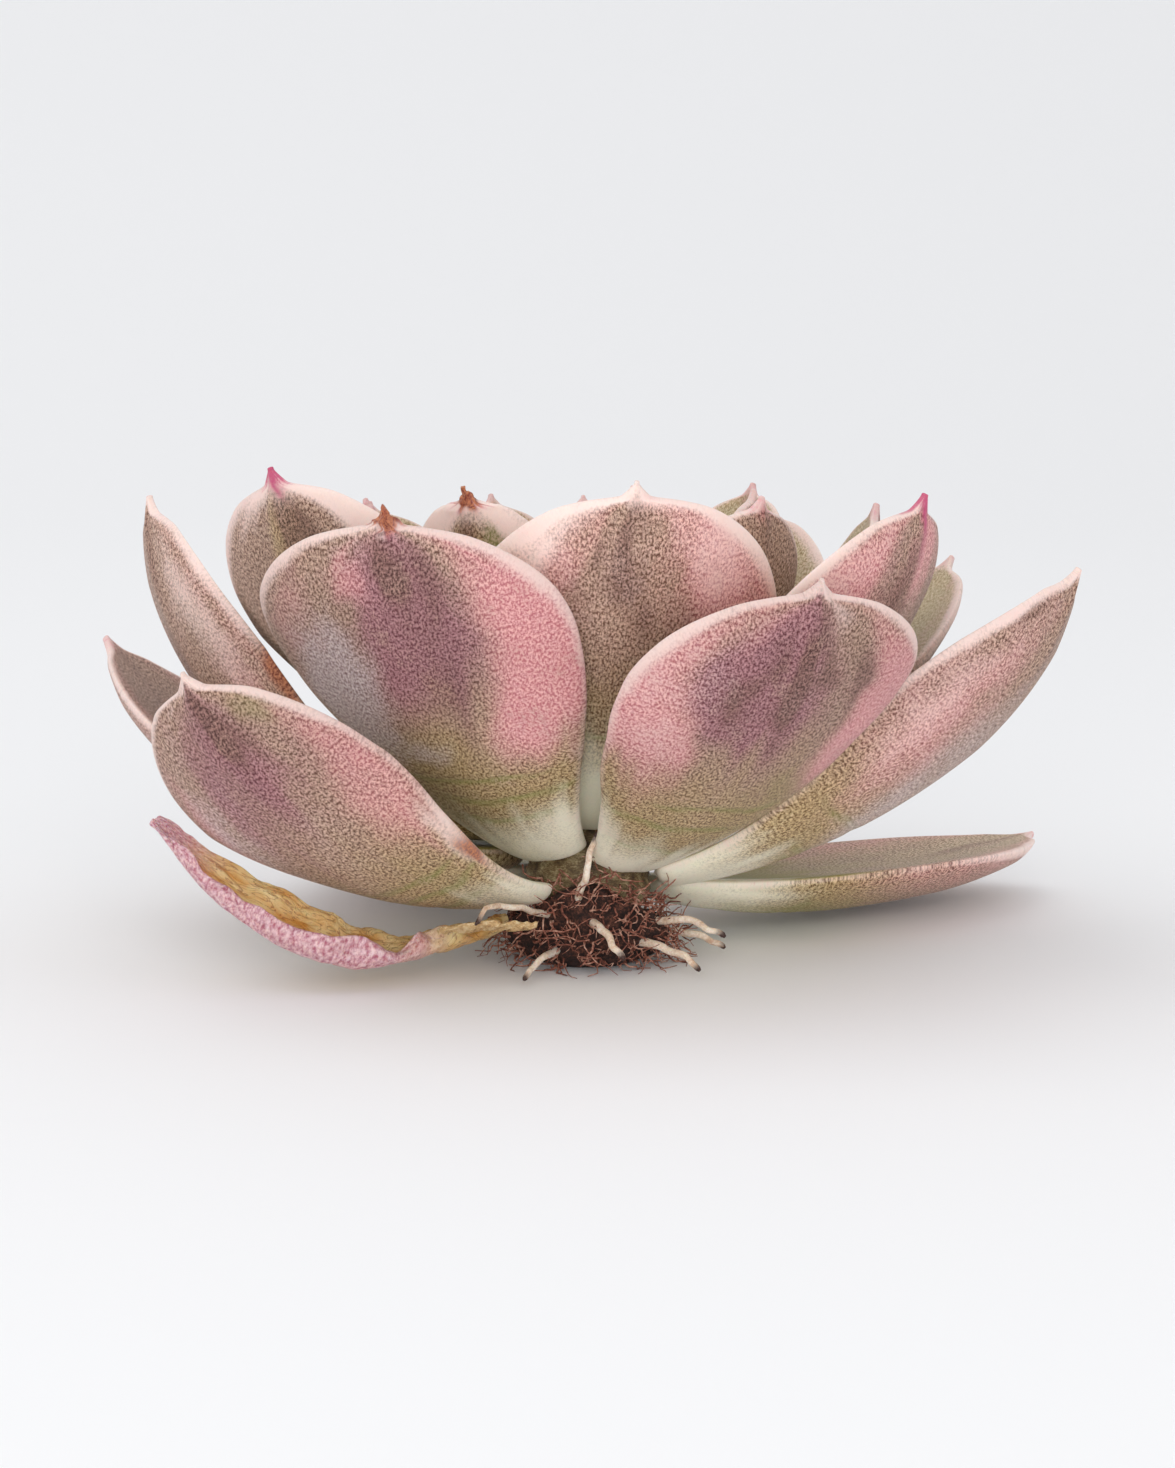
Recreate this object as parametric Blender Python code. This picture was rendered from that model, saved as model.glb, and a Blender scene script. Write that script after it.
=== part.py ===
"""A bare-root echeveria rosette: fleshy leaves in a golden-angle spiral on a short stem, over a root clump.

Units are metres, +Z is up, and the plant stands on z = 0. Azimuths are in degrees about the plant's axis:
0 points to -Y, the front, and 90 points to +X. Elevations are in degrees above the crown's own plane.
"""

import math
from dataclasses import dataclass

import bmesh
import bpy
from mathutils import Matrix, Vector, noise

MM = 0.001

# The crown: where the leaves leave the stem.
CROWN_HEIGHT = 5.9 * MM
CROWN_LEAN = 7.0  # degrees, backwards: the plant leans on its rear leaves
STEM_RADIUS = 5.6 * MM
STEM_TIP_RADIUS = 0.7 * MM
STEM_HEIGHT = 15.5 * MM
STEM_TAPER = 1.7
FOOT_DEPTH = 2.6 * MM
FOOT_RADIUS = 3.6 * MM
STEM_SIDES = 20

# The spiral of leaves.
LEAF_COUNT = 34
FALLEN_LEAVES = (2,)
FIRST_AZIMUTH = -86.5
GOLDEN_ANGLE = 137.5
LEAF_PITCH = 0.42 * MM
SEAT_GAP = 0.3 * MM
LEAF_LENGTH = 42.0 * MM
LEAF_WIDTH = 24.0 * MM
LEAF_THICKNESS = 3.2 * MM
LENGTH_FALL = 39.5
LENGTH_FALL_POWER = 2.6
RISE_FIRST = 24.0
RISE_STEP = 1.65
SMALL_LEAF_ASPECT = 0.54
LEAF_NECK = 0.24
LEAF_SHOULDER = 0.60
LEAF_FULLNESS = 1.15
LEAF_BLUNT = 0.60
LEAF_ROUND_POWER = 2.2
LEAF_CUP = 0.22
LEAF_CURL = 36.0
BODY_AT_ENDS = 0.60  # share of the full thickness
INNER_SHARE = 0.38  # share of the thickness on the inner side of the midrib
TIP_LENGTH = 3.0 * MM
TIP_WIDTH = 3.2 * MM
TIP_TAPER = 1.15
TIP_IN_BLADE = 0.45  # share of the tip that the blade's round end still covers
TIP_THICKNESS = 0.5 * MM
TIP_BLEND = 1.6
RING_POINTS = 14
RINGS = 12
RING_CROWDING = 1.7  # above 1, rings stand closer together at the tip
MIDRIB_STEPS = 24

# The clump of soil and roots that the stem's foot sits in.
CLUMP_GAP = 0.35 * MM
CLUMP_POINTS = 32
# Each level of the clump: its share of the height, and how far it stands out past the stem, in mm.
CLUMP_LEVELS = ((0.0, -1.2), (0.16, 0.4), (0.42, 1.4), (0.72, 1.6), (1.0, 1.3))
CLUMP_ROUGHNESS = 0.55 * MM
CLUMP_GRAIN = 320.0  # per metre
CLUMP_RIM_BACK = -2.0 * MM
CLUMP_RIM_FRONT = 1.2 * MM
ROOT_SIDES = 6
ROOT_RINGS = 8
ROOT_GAP = 0.35 * MM

LEAF_COLOUR = (0.62, 0.42, 0.42, 1.0)
WITHERED_COLOUR = (0.72, 0.42, 0.20, 1.0)
HUSK_COLOUR = (0.66, 0.50, 0.30, 1.0)
STEM_COLOUR = (0.62, 0.60, 0.42, 1.0)
SOIL_COLOUR = (0.10, 0.06, 0.05, 1.0)
ROOT_COLOUR = (0.72, 0.60, 0.50, 1.0)


@dataclass
class Leaf:
    """One leaf. What is left at None follows the spiral's own laws."""

    index: int
    nudge: float = 0.0
    drop: float = 0.0
    length: float = None
    width: float = None
    thickness: float = None
    rise: float = None
    curl: float = LEAF_CURL
    sway: float = 0.0
    roll: float = 0.0
    shoulder: float = LEAF_SHOULDER
    fullness: float = LEAF_FULLNESS
    blunt: float = LEAF_BLUNT

    def __post_init__(self):
        age = self.index / LENGTH_FALL
        self.azimuth = FIRST_AZIMUTH - GOLDEN_ANGLE * self.index + self.nudge
        if self.length is None:
            self.length = LEAF_LENGTH * (1 - age**LENGTH_FALL_POWER)
        if self.width is None:
            self.width = min(LEAF_WIDTH, SMALL_LEAF_ASPECT * self.length)
        if self.thickness is None:
            self.thickness = LEAF_THICKNESS * min(1.0, 0.35 + 0.65 * self.length / LEAF_LENGTH)
        if self.rise is None:
            self.rise = RISE_FIRST + RISE_STEP * self.index
        self.tip_length = TIP_LENGTH * min(1.0, self.length / LEAF_LENGTH)
        self.seat_height = LEAF_PITCH * self.index - self.drop

    def outline(self, s):
        """Half the blade's width at the share s of the way from the neck to the tip."""
        blade_end = 1 - (1 - TIP_IN_BLADE) * self.tip_length / self.length
        if s < self.shoulder:
            swell = math.sin(math.pi / 2 * s / self.shoulder) ** self.fullness
            blade = LEAF_NECK + (1 - LEAF_NECK) * swell
        else:
            x = min(1.0, (s - self.shoulder) / (blade_end - self.shoulder))
            blade = (1 - x**LEAF_ROUND_POWER) ** self.blunt
        to_tip = (1 - s) * self.length / self.tip_length
        point = TIP_WIDTH * self.tip_length / TIP_LENGTH / self.width * min(1.0, to_tip) ** TIP_TAPER
        return self.width / 2 * (blade**TIP_BLEND + point**TIP_BLEND) ** (1 / TIP_BLEND)

    def body(self, s):
        """The blade's thickness at s, at its midrib."""
        swell = BODY_AT_ENDS + (1 - BODY_AT_ENDS) * math.sin(math.pi * s**0.8)
        near_tip = min(1.0, (1 - s) * self.length / (2.4 * self.tip_length))
        return TIP_THICKNESS + (self.thickness * swell - TIP_THICKNESS) * near_tip**0.8

    def frames(self, shares):
        """Where the midrib is at each share, with its side and its inner normal."""
        start = math.radians(self.azimuth)
        radius = stem_radius(self.seat_height) + SEAT_GAP
        point = Vector((radius * math.sin(start), -radius * math.cos(start), self.seat_height))
        made = []
        last = 0.0
        for s in shares:
            while last < s - 1e-9:
                step = min(1 / MIDRIB_STEPS, s - last)
                point = point + self.direction(last + step / 2) * (step * self.length)
                last += step
            along = self.direction(s)
            heading = math.radians(self.azimuth + self.sway * s)
            side = Vector((math.cos(heading), math.sin(heading), 0))
            inner = along.cross(side)
            turn = Matrix.Rotation(math.radians(self.roll) * min(1.0, 1.6 * s), 3, along)
            made.append((point.copy(), turn @ side, turn @ inner))
        return made

    def direction(self, s):
        """The way the midrib runs at s."""
        heading = math.radians(self.azimuth + self.sway * s)
        rise = math.radians(self.rise + self.curl * (s - 0.5))
        flat = math.cos(rise)
        return Vector((math.sin(heading) * flat, -math.cos(heading) * flat, math.sin(rise)))


# Where a leaf of this plant differs from the spiral's law.
OWN_SHAPES = {
    1: dict(name="low_leaf_right", nudge=-11, rise=3, curl=26, length=46 * MM, width=20 * MM, blunt=0.85),
    3: dict(name="low_leaf_back", nudge=-8, rise=6, curl=26, length=38 * MM),
    4: dict(name="outer_leaf_right", rise=36, curl=54, length=47 * MM, width=21 * MM, blunt=0.95, roll=-20),
    5: dict(
        name="outer_leaf_front_left",
        nudge=1,
        drop=1.6 * MM,
        rise=29,
        curl=64,
        length=42.5 * MM,
        width=19.5 * MM,
        roll=26,
    ),
    7: dict(
        name="outer_leaf_front_right",
        nudge=6,
        sway=-18,
        rise=38,
        curl=38,
        length=41 * MM,
        width=24.6 * MM,
        shoulder=0.66,
    ),
    8: dict(name="outer_leaf_far_left", rise=25, curl=66, length=46.5 * MM, blunt=0.85),
    10: dict(
        name="front_leaf_left",
        nudge=-17.5,
        drop=0.5 * MM,
        sway=28,
        rise=45.5,
        curl=36,
        length=42.3 * MM,
        width=26 * MM,
        shoulder=0.68,
        fullness=1.15,
    ),
    12: dict(name="front_leaf_right", nudge=-5, rise=47, curl=46, length=41.5 * MM, width=23.8 * MM),
    13: dict(
        name="side_leaf_left",
        nudge=-21,
        rise=41,
        curl=88,
        length=49 * MM,
        width=16.5 * MM,
        thickness=2.5 * MM,
        roll=28,
    ),
    15: dict(name="front_leaf_middle", nudge=-3, rise=51, curl=30, length=38 * MM, width=25 * MM, blunt=0.5),
    16: dict(name="middle_leaf_16", nudge=-6, length=36.5 * MM),
    17: dict(name="middle_leaf_right", curl=50, length=35 * MM, width=17 * MM),
    18: dict(
        name="inner_leaf_left",
        nudge=-25,
        sway=11,
        rise=49,
        curl=50,
        length=40 * MM,
        width=24 * MM,
        thickness=2.6 * MM,
        roll=18,
    ),
    19: dict(name="middle_leaf_19", length=33 * MM),
    20: dict(name="inner_leaf_20", length=31.5 * MM),
    21: dict(name="inner_leaf_21", nudge=-5, length=30 * MM, width=16 * MM),
    22: dict(name="inner_leaf_22", length=31 * MM),
    23: dict(name="inner_leaf_front", nudge=-24, rise=60, length=30 * MM),
    24: dict(name="inner_leaf_24", length=28 * MM),
    25: dict(name="inner_leaf_25", length=27.5 * MM),
    26: dict(name="inner_leaf_26", nudge=-3, rise=66, length=24 * MM, width=10 * MM),
}


@dataclass
class Ribbon:
    """A thin dry blade along a path: points in mm, half its width in mm at each, and its tilt in degrees."""

    name: str
    path: tuple
    halves: tuple
    tilts: tuple
    thickness: float
    wave: float
    crimps: float


@dataclass
class Root:
    """One root: where it leaves the clump, and the point its end reaches, in mm."""

    name: str
    azimuth: float
    height: float
    end: tuple
    radius: float
    sag: float


RIBBONS = (
    Ribbon(
        "withered_leaf",
        path=(
            (-7.4, -3.6, 3.6),
            (-13.0, -7.6, 2.7),
            (-20.4, -12.4, 3.3),
            (-29.2, -12.0, 7.6),
            (-36.8, -9.4, 14.0),
        ),
        halves=(1.6, 2.7, 3.6, 3.0, 0.8),
        tilts=(-8, -20, -38, -42, -32),
        thickness=0.7 * MM,
        wave=0.6 * MM,
        crimps=5.0,
    ),
    Ribbon(
        "husk",
        path=((-4.6, -9.0, 4.6), (-8.4, -10.2, 5.0), (-12.6, -11.6, 4.9)),
        halves=(1.2, 1.9, 0.5),
        tilts=(20, 5, -10),
        thickness=0.45 * MM,
        wave=0.25 * MM,
        crimps=3.0,
    ),
)

ROOTS = (
    Root("root_front", azimuth=2, height=4.9, end=(3.1, -11.2, 2.3), radius=0.46, sag=-0.5),
    Root("root_upright", azimuth=-8, height=6.5, end=(0.8, -10.2, 13.2), radius=0.40, sag=0.3),
    Root("root_left_high", azimuth=-30, height=5.2, end=(-9.4, -14.4, 7.4), radius=0.36, sag=-0.6),
    Root("root_left_low", azimuth=-24, height=2.0, end=(-5.4, -11.8, 0.7), radius=0.40, sag=-0.4),
    Root("root_right_high", azimuth=58, height=4.2, end=(11.8, -7.2, 3.4), radius=0.42, sag=-0.7),
    Root("root_right_low", azimuth=40, height=2.6, end=(9.6, -9.2, 0.9), radius=0.45, sag=-0.6),
    Root("root_right_back", azimuth=84, height=2.4, end=(12.0, -0.6, 0.9), radius=0.42, sag=-0.5),
    Root("root_back", azimuth=168, height=2.2, end=(2.2, 12.0, 0.8), radius=0.46, sag=-0.3),
)


def stem_radius(height):
    """The stem's radius at a height above the crown's plane."""
    if height < 0:
        return STEM_RADIUS + (FOOT_RADIUS - STEM_RADIUS) * min(1.0, -height / FOOT_DEPTH) ** 1.5
    share = min(1.0, height / STEM_HEIGHT)
    return STEM_TIP_RADIUS + (STEM_RADIUS - STEM_TIP_RADIUS) * (1 - share**STEM_TAPER)


def finish(name, colour, roughness):
    """A plain material in a part's own colour."""
    material = bpy.data.materials.new(name)
    material.use_nodes = True
    shader = material.node_tree.nodes["Principled BSDF"]
    shader.inputs["Base Color"].default_value = colour
    shader.inputs["Roughness"].default_value = roughness
    return material


def add_object(name, mesh_data, material, parent):
    """A named object from a bmesh, smooth, under its parent."""
    bmesh.ops.recalc_face_normals(mesh_data, faces=mesh_data.faces)
    mesh = bpy.data.meshes.new(name)
    mesh_data.to_mesh(mesh)
    mesh_data.free()
    mesh.shade_smooth()
    mesh.materials.append(material)
    made = bpy.data.objects.new(name, mesh)
    bpy.context.scene.collection.objects.link(made)
    made.parent = parent
    return made


def add_empty(name, parent=None):
    """An empty to group parts under."""
    made = bpy.data.objects.new(name, None)
    bpy.context.scene.collection.objects.link(made)
    made.parent = parent
    return made


def loft(rings):
    """A closed bmesh through rings of points, with both ends capped."""
    work = bmesh.new()
    loops = []
    for ring in rings:
        corners = [work.verts.new(point) for point in ring]
        loops.append([work.edges.new((a, b)) for a, b in zip(corners, corners[1:] + corners[:1])])
    for first, second in zip(loops, loops[1:]):
        bmesh.ops.bridge_loops(work, edges=first + second)
    bmesh.ops.holes_fill(work, edges=loops[0] + loops[-1])
    return work


def leaf_rings(leaf):
    """Rings round the blade from the neck to the tip, closer together at the tip."""
    shares = [1 - (1 - k / (RINGS - 1)) ** RING_CROWDING for k in range(RINGS)]
    rings = []
    for s, (centre, side, inner) in zip(shares, leaf.frames(shares)):
        half = max(leaf.outline(s), 0.2 * MM)
        body = leaf.body(s)
        cup = LEAF_CUP * math.sin(math.pi * (0.15 + 0.7 * s))
        ring = []
        for k in range(RING_POINTS):
            turn = 2 * math.pi * k / RING_POINTS
            across, through = math.cos(turn), math.sin(turn)
            share = INNER_SHARE if through > 0 else 1 - INNER_SHARE
            lift = cup * half * across**2 + share * body * through
            ring.append(centre + side * (half * across) + inner * lift)
        rings.append(ring)
    return rings


def make_leaves(rosette, material):
    """Every leaf that the plant still has."""
    for index in range(1, LEAF_COUNT):
        if index in FALLEN_LEAVES:
            continue
        own = dict(OWN_SHAPES.get(index, {}))
        name = own.pop("name", f"{whorl_name(index)}_leaf_{index:02d}")
        leaf = Leaf(index, **own)
        add_object(name, loft(leaf_rings(leaf)), material, rosette)


def whorl_name(index):
    """The whorl a leaf counts as, from the outside in."""
    if index < 12:
        return "outer"
    if index < 20:
        return "middle"
    return "inner" if index < 28 else "heart"


def ring_about(radius, height, sides):
    """A level ring of points about the crown's axis."""
    turns = (2 * math.pi * k / sides for k in range(sides))
    return [Vector((radius * math.sin(a), -radius * math.cos(a), height)) for a in turns]


def make_stem(rosette, material):
    """The short stem, a turned cone that is hidden by the leaves."""
    heights = [-FOOT_DEPTH, -0.6 * FOOT_DEPTH, -0.25 * FOOT_DEPTH] + [STEM_HEIGHT * k / 6 for k in range(7)]
    add_object("stem", loft([ring_about(stem_radius(h), h, STEM_SIDES) for h in heights]), material, rosette)


def crown_matrix():
    """The crown's placement over the plant's foot."""
    return Matrix.Translation((0, 0, CROWN_HEIGHT)) @ Matrix.Rotation(math.radians(-CROWN_LEAN), 4, "X")


def clump_rim(turn):
    """The point on the clump's rim at an azimuth in radians: higher in front, where no leaf is in the way."""
    front = max(0.0, math.cos(turn)) ** 3
    height = CLUMP_RIM_BACK + (CLUMP_RIM_FRONT - CLUMP_RIM_BACK) * front
    radius = stem_radius(height) + CLUMP_GAP + 0.5 * MM
    return crown_matrix() @ Vector((radius * math.sin(turn), -radius * math.cos(turn), height))


def clump_side(turn, share):
    """The point on the clump's outside at an azimuth, at a share of its height there."""
    shares, stands = zip(*CLUMP_LEVELS)
    k = max(j for j in range(len(shares) - 1) if shares[j] <= share or j == 0)
    part = (share - shares[k]) / (shares[k + 1] - shares[k])
    radius = STEM_RADIUS + (stands[k] + (stands[k + 1] - stands[k]) * part) * MM
    height = share * (clump_rim(turn).z - 0.3 * MM)
    point = Vector((radius * math.sin(turn), -radius * math.cos(turn), height))
    bump = noise.noise(point * CLUMP_GRAIN) * CLUMP_ROUGHNESS * min(1.0, 6 * share)
    return point + Vector((math.sin(turn), -math.cos(turn), 0)) * bump


def make_clump(plant, material):
    """The clump: a rough mound with a socket for the stem's foot and a flat patch that it stands on."""
    turns = [2 * math.pi * k / CLUMP_POINTS for k in range(CLUMP_POINTS)]
    rings = [[clump_side(turn, share) for turn in turns] for share, _ in CLUMP_LEVELS]
    rings.append([clump_rim(turn) for turn in turns])
    for level in (0.35, 0.75):
        wall = []
        for turn in turns:
            rim = clump_rim(turn)
            top = (crown_matrix().inverted() @ rim).z - 0.15 * MM
            height = top + (-FOOT_DEPTH - top) * level
            radius = stem_radius(height) + CLUMP_GAP
            wall.append(crown_matrix() @ Vector((radius * math.sin(turn), -radius * math.cos(turn), height)))
        rings.append(wall)
    floor = -FOOT_DEPTH - CLUMP_GAP
    rings.append([crown_matrix() @ point for point in ring_about(FOOT_RADIUS, floor, CLUMP_POINTS)])
    add_object("root_clump", loft(rings), material, plant)


def tube(path, radii):
    """Rings round a path, for a root."""
    rings = []
    for k, (centre, radius) in enumerate(zip(path, radii)):
        along = (path[min(k + 1, len(path) - 1)] - path[max(k - 1, 0)]).normalized()
        side = along.orthogonal().normalized() if k == 0 else (side - along * side.dot(along)).normalized()
        other = along.cross(side)
        turns = (2 * math.pi * j / ROOT_SIDES for j in range(ROOT_SIDES))
        rings.append([centre + (side * math.cos(a) + other * math.sin(a)) * radius for a in turns])
    return rings


def make_roots(plant, material):
    """Roots that start just off the clump's face, where they leave it."""
    for root in ROOTS:
        turn = math.radians(root.azimuth)
        share = root.height * MM / clump_rim(turn).z
        outward = Vector((math.sin(turn), -math.cos(turn), 0))
        start = clump_side(turn, min(0.98, share)) + outward * (ROOT_GAP + root.radius * MM)
        end = Vector(root.end) * MM
        path = []
        for k in range(ROOT_RINGS):
            t = k / (ROOT_RINGS - 1)
            bend = Vector((0, 0, -root.sag * MM)) + outward * (0.5 * MM)
            path.append(start.lerp(end, t) + bend * (4 * t * (1 - t)))
        radii = [root.radius * MM * (1 - 0.55 * k / (ROOT_RINGS - 1)) for k in range(ROOT_RINGS)]
        add_object(root.name, loft(tube(path, radii)), material, plant)


def spread(values, t):
    """A smooth reading of a row of values at the share t of its length."""
    place = t * (len(values) - 1)
    k = min(int(place), len(values) - 2)
    x = place - k
    before, first, second, after = (values[min(max(k + j, 0), len(values) - 1)] for j in (-1, 0, 1, 2))
    return 0.5 * (
        2 * first
        + (second - before) * x
        + (2 * before - 5 * first + 4 * second - after) * x**2
        + (3 * first - before - 3 * second + after) * x**3
    )


def make_ribbon(ribbon, plant, material):
    """A dry blade: flat oval rings along the path, its margins waved."""
    count, points = 15, 12
    shares = [k / (count - 1) for k in range(count)]
    path = [Vector([spread([p[axis] for p in ribbon.path], t) for axis in range(3)]) * MM for t in shares]
    rings = []
    for k, t in enumerate(shares):
        along = (path[min(k + 1, count - 1)] - path[max(k - 1, 0)]).normalized()
        level = Vector((0, 0, 1)).cross(along).normalized()
        side = Matrix.Rotation(math.radians(spread(ribbon.tilts, t)), 3, along) @ level
        normal = along.cross(side)
        half = spread(ribbon.halves, t) * MM
        ring = []
        for j in range(points):
            turn = 2 * math.pi * j / points
            across, through = math.cos(turn), math.sin(turn)
            wave = ribbon.wave * across * abs(across) * math.sin(2 * math.pi * ribbon.crimps * t)
            ring.append(path[k] + side * (half * across) + normal * (0.5 * ribbon.thickness * through + wave))
        rings.append(ring)
    add_object(ribbon.name, loft(rings), material, plant)


def stand_on_origin(plant):
    """Moves the plant so that the middle of its box's underside is the origin."""
    bpy.context.view_layer.update()
    corners = [
        obj.matrix_world @ vertex.co
        for obj in bpy.context.scene.objects
        if obj.type == "MESH"
        for vertex in obj.data.vertices
    ]
    low = [min(corner[axis] for corner in corners) for axis in range(3)]
    high = [max(corner[axis] for corner in corners) for axis in range(3)]
    plant.location = (-(low[0] + high[0]) / 2, -(low[1] + high[1]) / 2, -low[2])


def main():
    """Builds the plant on the origin."""
    for old in list(bpy.data.objects):
        bpy.data.objects.remove(old)
    plant = add_empty("plant")
    rosette = add_empty("rosette", plant)
    rosette.matrix_world = crown_matrix()
    make_stem(rosette, finish("stem", STEM_COLOUR, 0.7))
    make_leaves(rosette, finish("leaf", LEAF_COLOUR, 0.6))
    withered = finish("withered", WITHERED_COLOUR, 0.8)
    husk = finish("husk", HUSK_COLOUR, 0.9)
    for ribbon in RIBBONS:
        make_ribbon(ribbon, plant, withered if ribbon.name == "withered_leaf" else husk)
    make_clump(plant, finish("soil", SOIL_COLOUR, 1.0))
    make_roots(plant, finish("root", ROOT_COLOUR, 0.8))
    stand_on_origin(plant)


main()
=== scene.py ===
"""The looks of a bare-root echeveria rosette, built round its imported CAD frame.

The plant has thirty-two fleshy leaves in a golden-angle spiral, one withered leaf, a short stem, a scrap of
husk, and a clump of soil with roots. Every length is in metres unless its name ends in _mm, and azimuths are
in degrees about the plant's axis, where 0 points to the front and 90 to the plant's right.
"""

import logging
import math
import random
from collections.abc import Sequence
from dataclasses import dataclass, field
from enum import Enum

import bmesh
import bpy
from mathutils import Matrix, Vector, noise


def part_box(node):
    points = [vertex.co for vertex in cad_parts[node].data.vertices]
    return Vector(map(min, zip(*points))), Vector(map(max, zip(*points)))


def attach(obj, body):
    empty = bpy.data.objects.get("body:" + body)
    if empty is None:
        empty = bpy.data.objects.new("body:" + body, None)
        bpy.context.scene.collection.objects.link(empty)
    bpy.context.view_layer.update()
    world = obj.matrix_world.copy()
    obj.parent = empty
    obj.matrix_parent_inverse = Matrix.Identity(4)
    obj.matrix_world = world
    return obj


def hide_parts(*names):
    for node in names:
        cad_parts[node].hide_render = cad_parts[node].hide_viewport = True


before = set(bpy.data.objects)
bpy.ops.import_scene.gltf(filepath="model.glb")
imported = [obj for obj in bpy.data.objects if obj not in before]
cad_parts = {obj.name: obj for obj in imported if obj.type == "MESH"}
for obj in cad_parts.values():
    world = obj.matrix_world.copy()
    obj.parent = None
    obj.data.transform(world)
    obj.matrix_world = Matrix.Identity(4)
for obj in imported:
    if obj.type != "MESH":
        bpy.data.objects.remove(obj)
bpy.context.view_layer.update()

MM = 0.001
MIX_LOW, MIX_HIGH, MIX_RESULT = 6, 7, 2  # a Mix node's sockets when it mixes colours
log = logging.getLogger("rosette")


# -------- Small helpers --------


def colour(code: str, alpha: float = 1.0) -> tuple[float, float, float, float]:
    """Turns an sRGB hex colour into the linear one that shaders take.

    Args:
        code: The colour as six hex digits, such as "A0C4FF".
        alpha: The fourth value.

    Returns:
        Linear red, green and blue with the alpha.
    """
    parts = [int(code[k : k + 2], 16) / 255 for k in (0, 2, 4)]
    red, green, blue = (c / 12.92 if c <= 0.04045 else ((c + 0.055) / 1.055) ** 2.4 for c in parts)
    return red, green, blue, alpha


def smooth(low: float, high: float, value: float) -> float:
    """Goes smoothly from 0 at low to 1 at high."""
    x = min(1.0, max(0.0, (value - low) / (high - low)))
    return x * x * (3 - 2 * x)


def spot(value: float, centre: float, reach: float) -> float:
    """A soft bump: 1 at the centre, 0 at the reach and beyond."""
    return 1 - smooth(0.0, reach, abs(value - centre))


def fill(tree: bpy.types.NodeTree, node: bpy.types.Node, inputs: dict) -> None:
    """Fills or links a node's inputs.

    Args:
        tree: The node tree.
        node: The node.
        inputs: Input name or number to a value, or to an output socket to link.
    """
    for key, value in inputs.items():
        if isinstance(value, bpy.types.NodeSocket):
            tree.links.new(value, node.inputs[key])
        else:
            node.inputs[key].default_value = value


def add_node(tree: bpy.types.NodeTree, kind: str, inputs: dict | None = None, **settings) -> bpy.types.Node:
    """Adds a shader node, sets its properties, and fills or links its inputs.

    Args:
        tree: The node tree that gets it.
        kind: The node's type name without the ShaderNode that it starts with.
        inputs: Input name or number to a value, or to an output socket to link.
        **settings: The node's own properties.

    Returns:
        The new node.
    """
    node = tree.nodes.new("ShaderNode" + kind)
    for name, value in settings.items():
        setattr(node, name, value)
    fill(tree, node, inputs or {})
    return node


def new_material(name: str) -> tuple[bpy.types.Material, bpy.types.NodeTree, bpy.types.Node]:
    """Makes a material with nothing in it but its Principled shader.

    Args:
        name: The material's name.

    Returns:
        The material, its node tree and the shader.
    """
    material = bpy.data.materials.new(name)
    material.use_nodes = True
    return material, material.node_tree, material.node_tree.nodes["Principled BSDF"]


def blend(
    tree: bpy.types.NodeTree,
    low: str | bpy.types.NodeSocket,
    high: str | bpy.types.NodeSocket,
    share: bpy.types.NodeSocket,
) -> bpy.types.NodeSocket:
    """Mixes two colours, each an sRGB hex code or a node's output.

    Args:
        tree: The node tree.
        low: The colour where the share is 0.
        high: The colour where the share is 1.
        share: The output that says how much of the second colour there is.

    Returns:
        The mixed colour's output.
    """
    low, high = (colour(value) if isinstance(value, str) else value for value in (low, high))
    mixed = add_node(tree, "Mix", {"Factor": share}, data_type="RGBA")
    fill(tree, mixed, {MIX_LOW: low, MIX_HIGH: high})
    return mixed.outputs[MIX_RESULT]


def object_from(name: str, work: bmesh.types.BMesh, material: bpy.types.Material) -> bpy.types.Object:
    """Turns a bmesh into a smooth-shaded object at the origin.

    Args:
        name: The object's name.
        work: The bmesh, which is freed.
        material: The object's one material.

    Returns:
        The new object.
    """
    mesh = bpy.data.meshes.new(name)
    work.to_mesh(mesh)
    work.free()
    mesh.shade_smooth()
    mesh.materials.append(material)
    made = bpy.data.objects.new(name, mesh)
    bpy.context.scene.collection.objects.link(made)
    return made


def subdivide(piece: bpy.types.Object, levels: int) -> None:
    """Puts a Subdivision Surface on a piece, the same for the viewport and the render."""
    modifier = piece.modifiers.new("fine", "SUBSURF")
    modifier.levels = modifier.render_levels = levels


def extrude_ring(
    work: bmesh.types.BMesh, edges: list[bmesh.types.BMEdge]
) -> tuple[list[bmesh.types.BMVert], list[bmesh.types.BMEdge]]:
    """Extrudes a closed ring of edges without moving it.

    Args:
        work: The bmesh that the ring belongs to.
        edges: The ring's edges.

    Returns:
        The new ring's points and its edges.
    """
    made = bmesh.ops.extrude_edge_only(work, edges=edges)["geom"]
    corners = [item for item in made if isinstance(item, bmesh.types.BMVert)]
    return corners, [item for item in made if isinstance(item, bmesh.types.BMEdge)]


def wander(x: float, gap: float, seed: float) -> Vector:
    """A direction that drifts as x rises, whose three axes are read from lines of noise a gap apart."""
    return Vector([noise.noise(Vector((x, j * gap, seed))) for j in range(3)])


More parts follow.
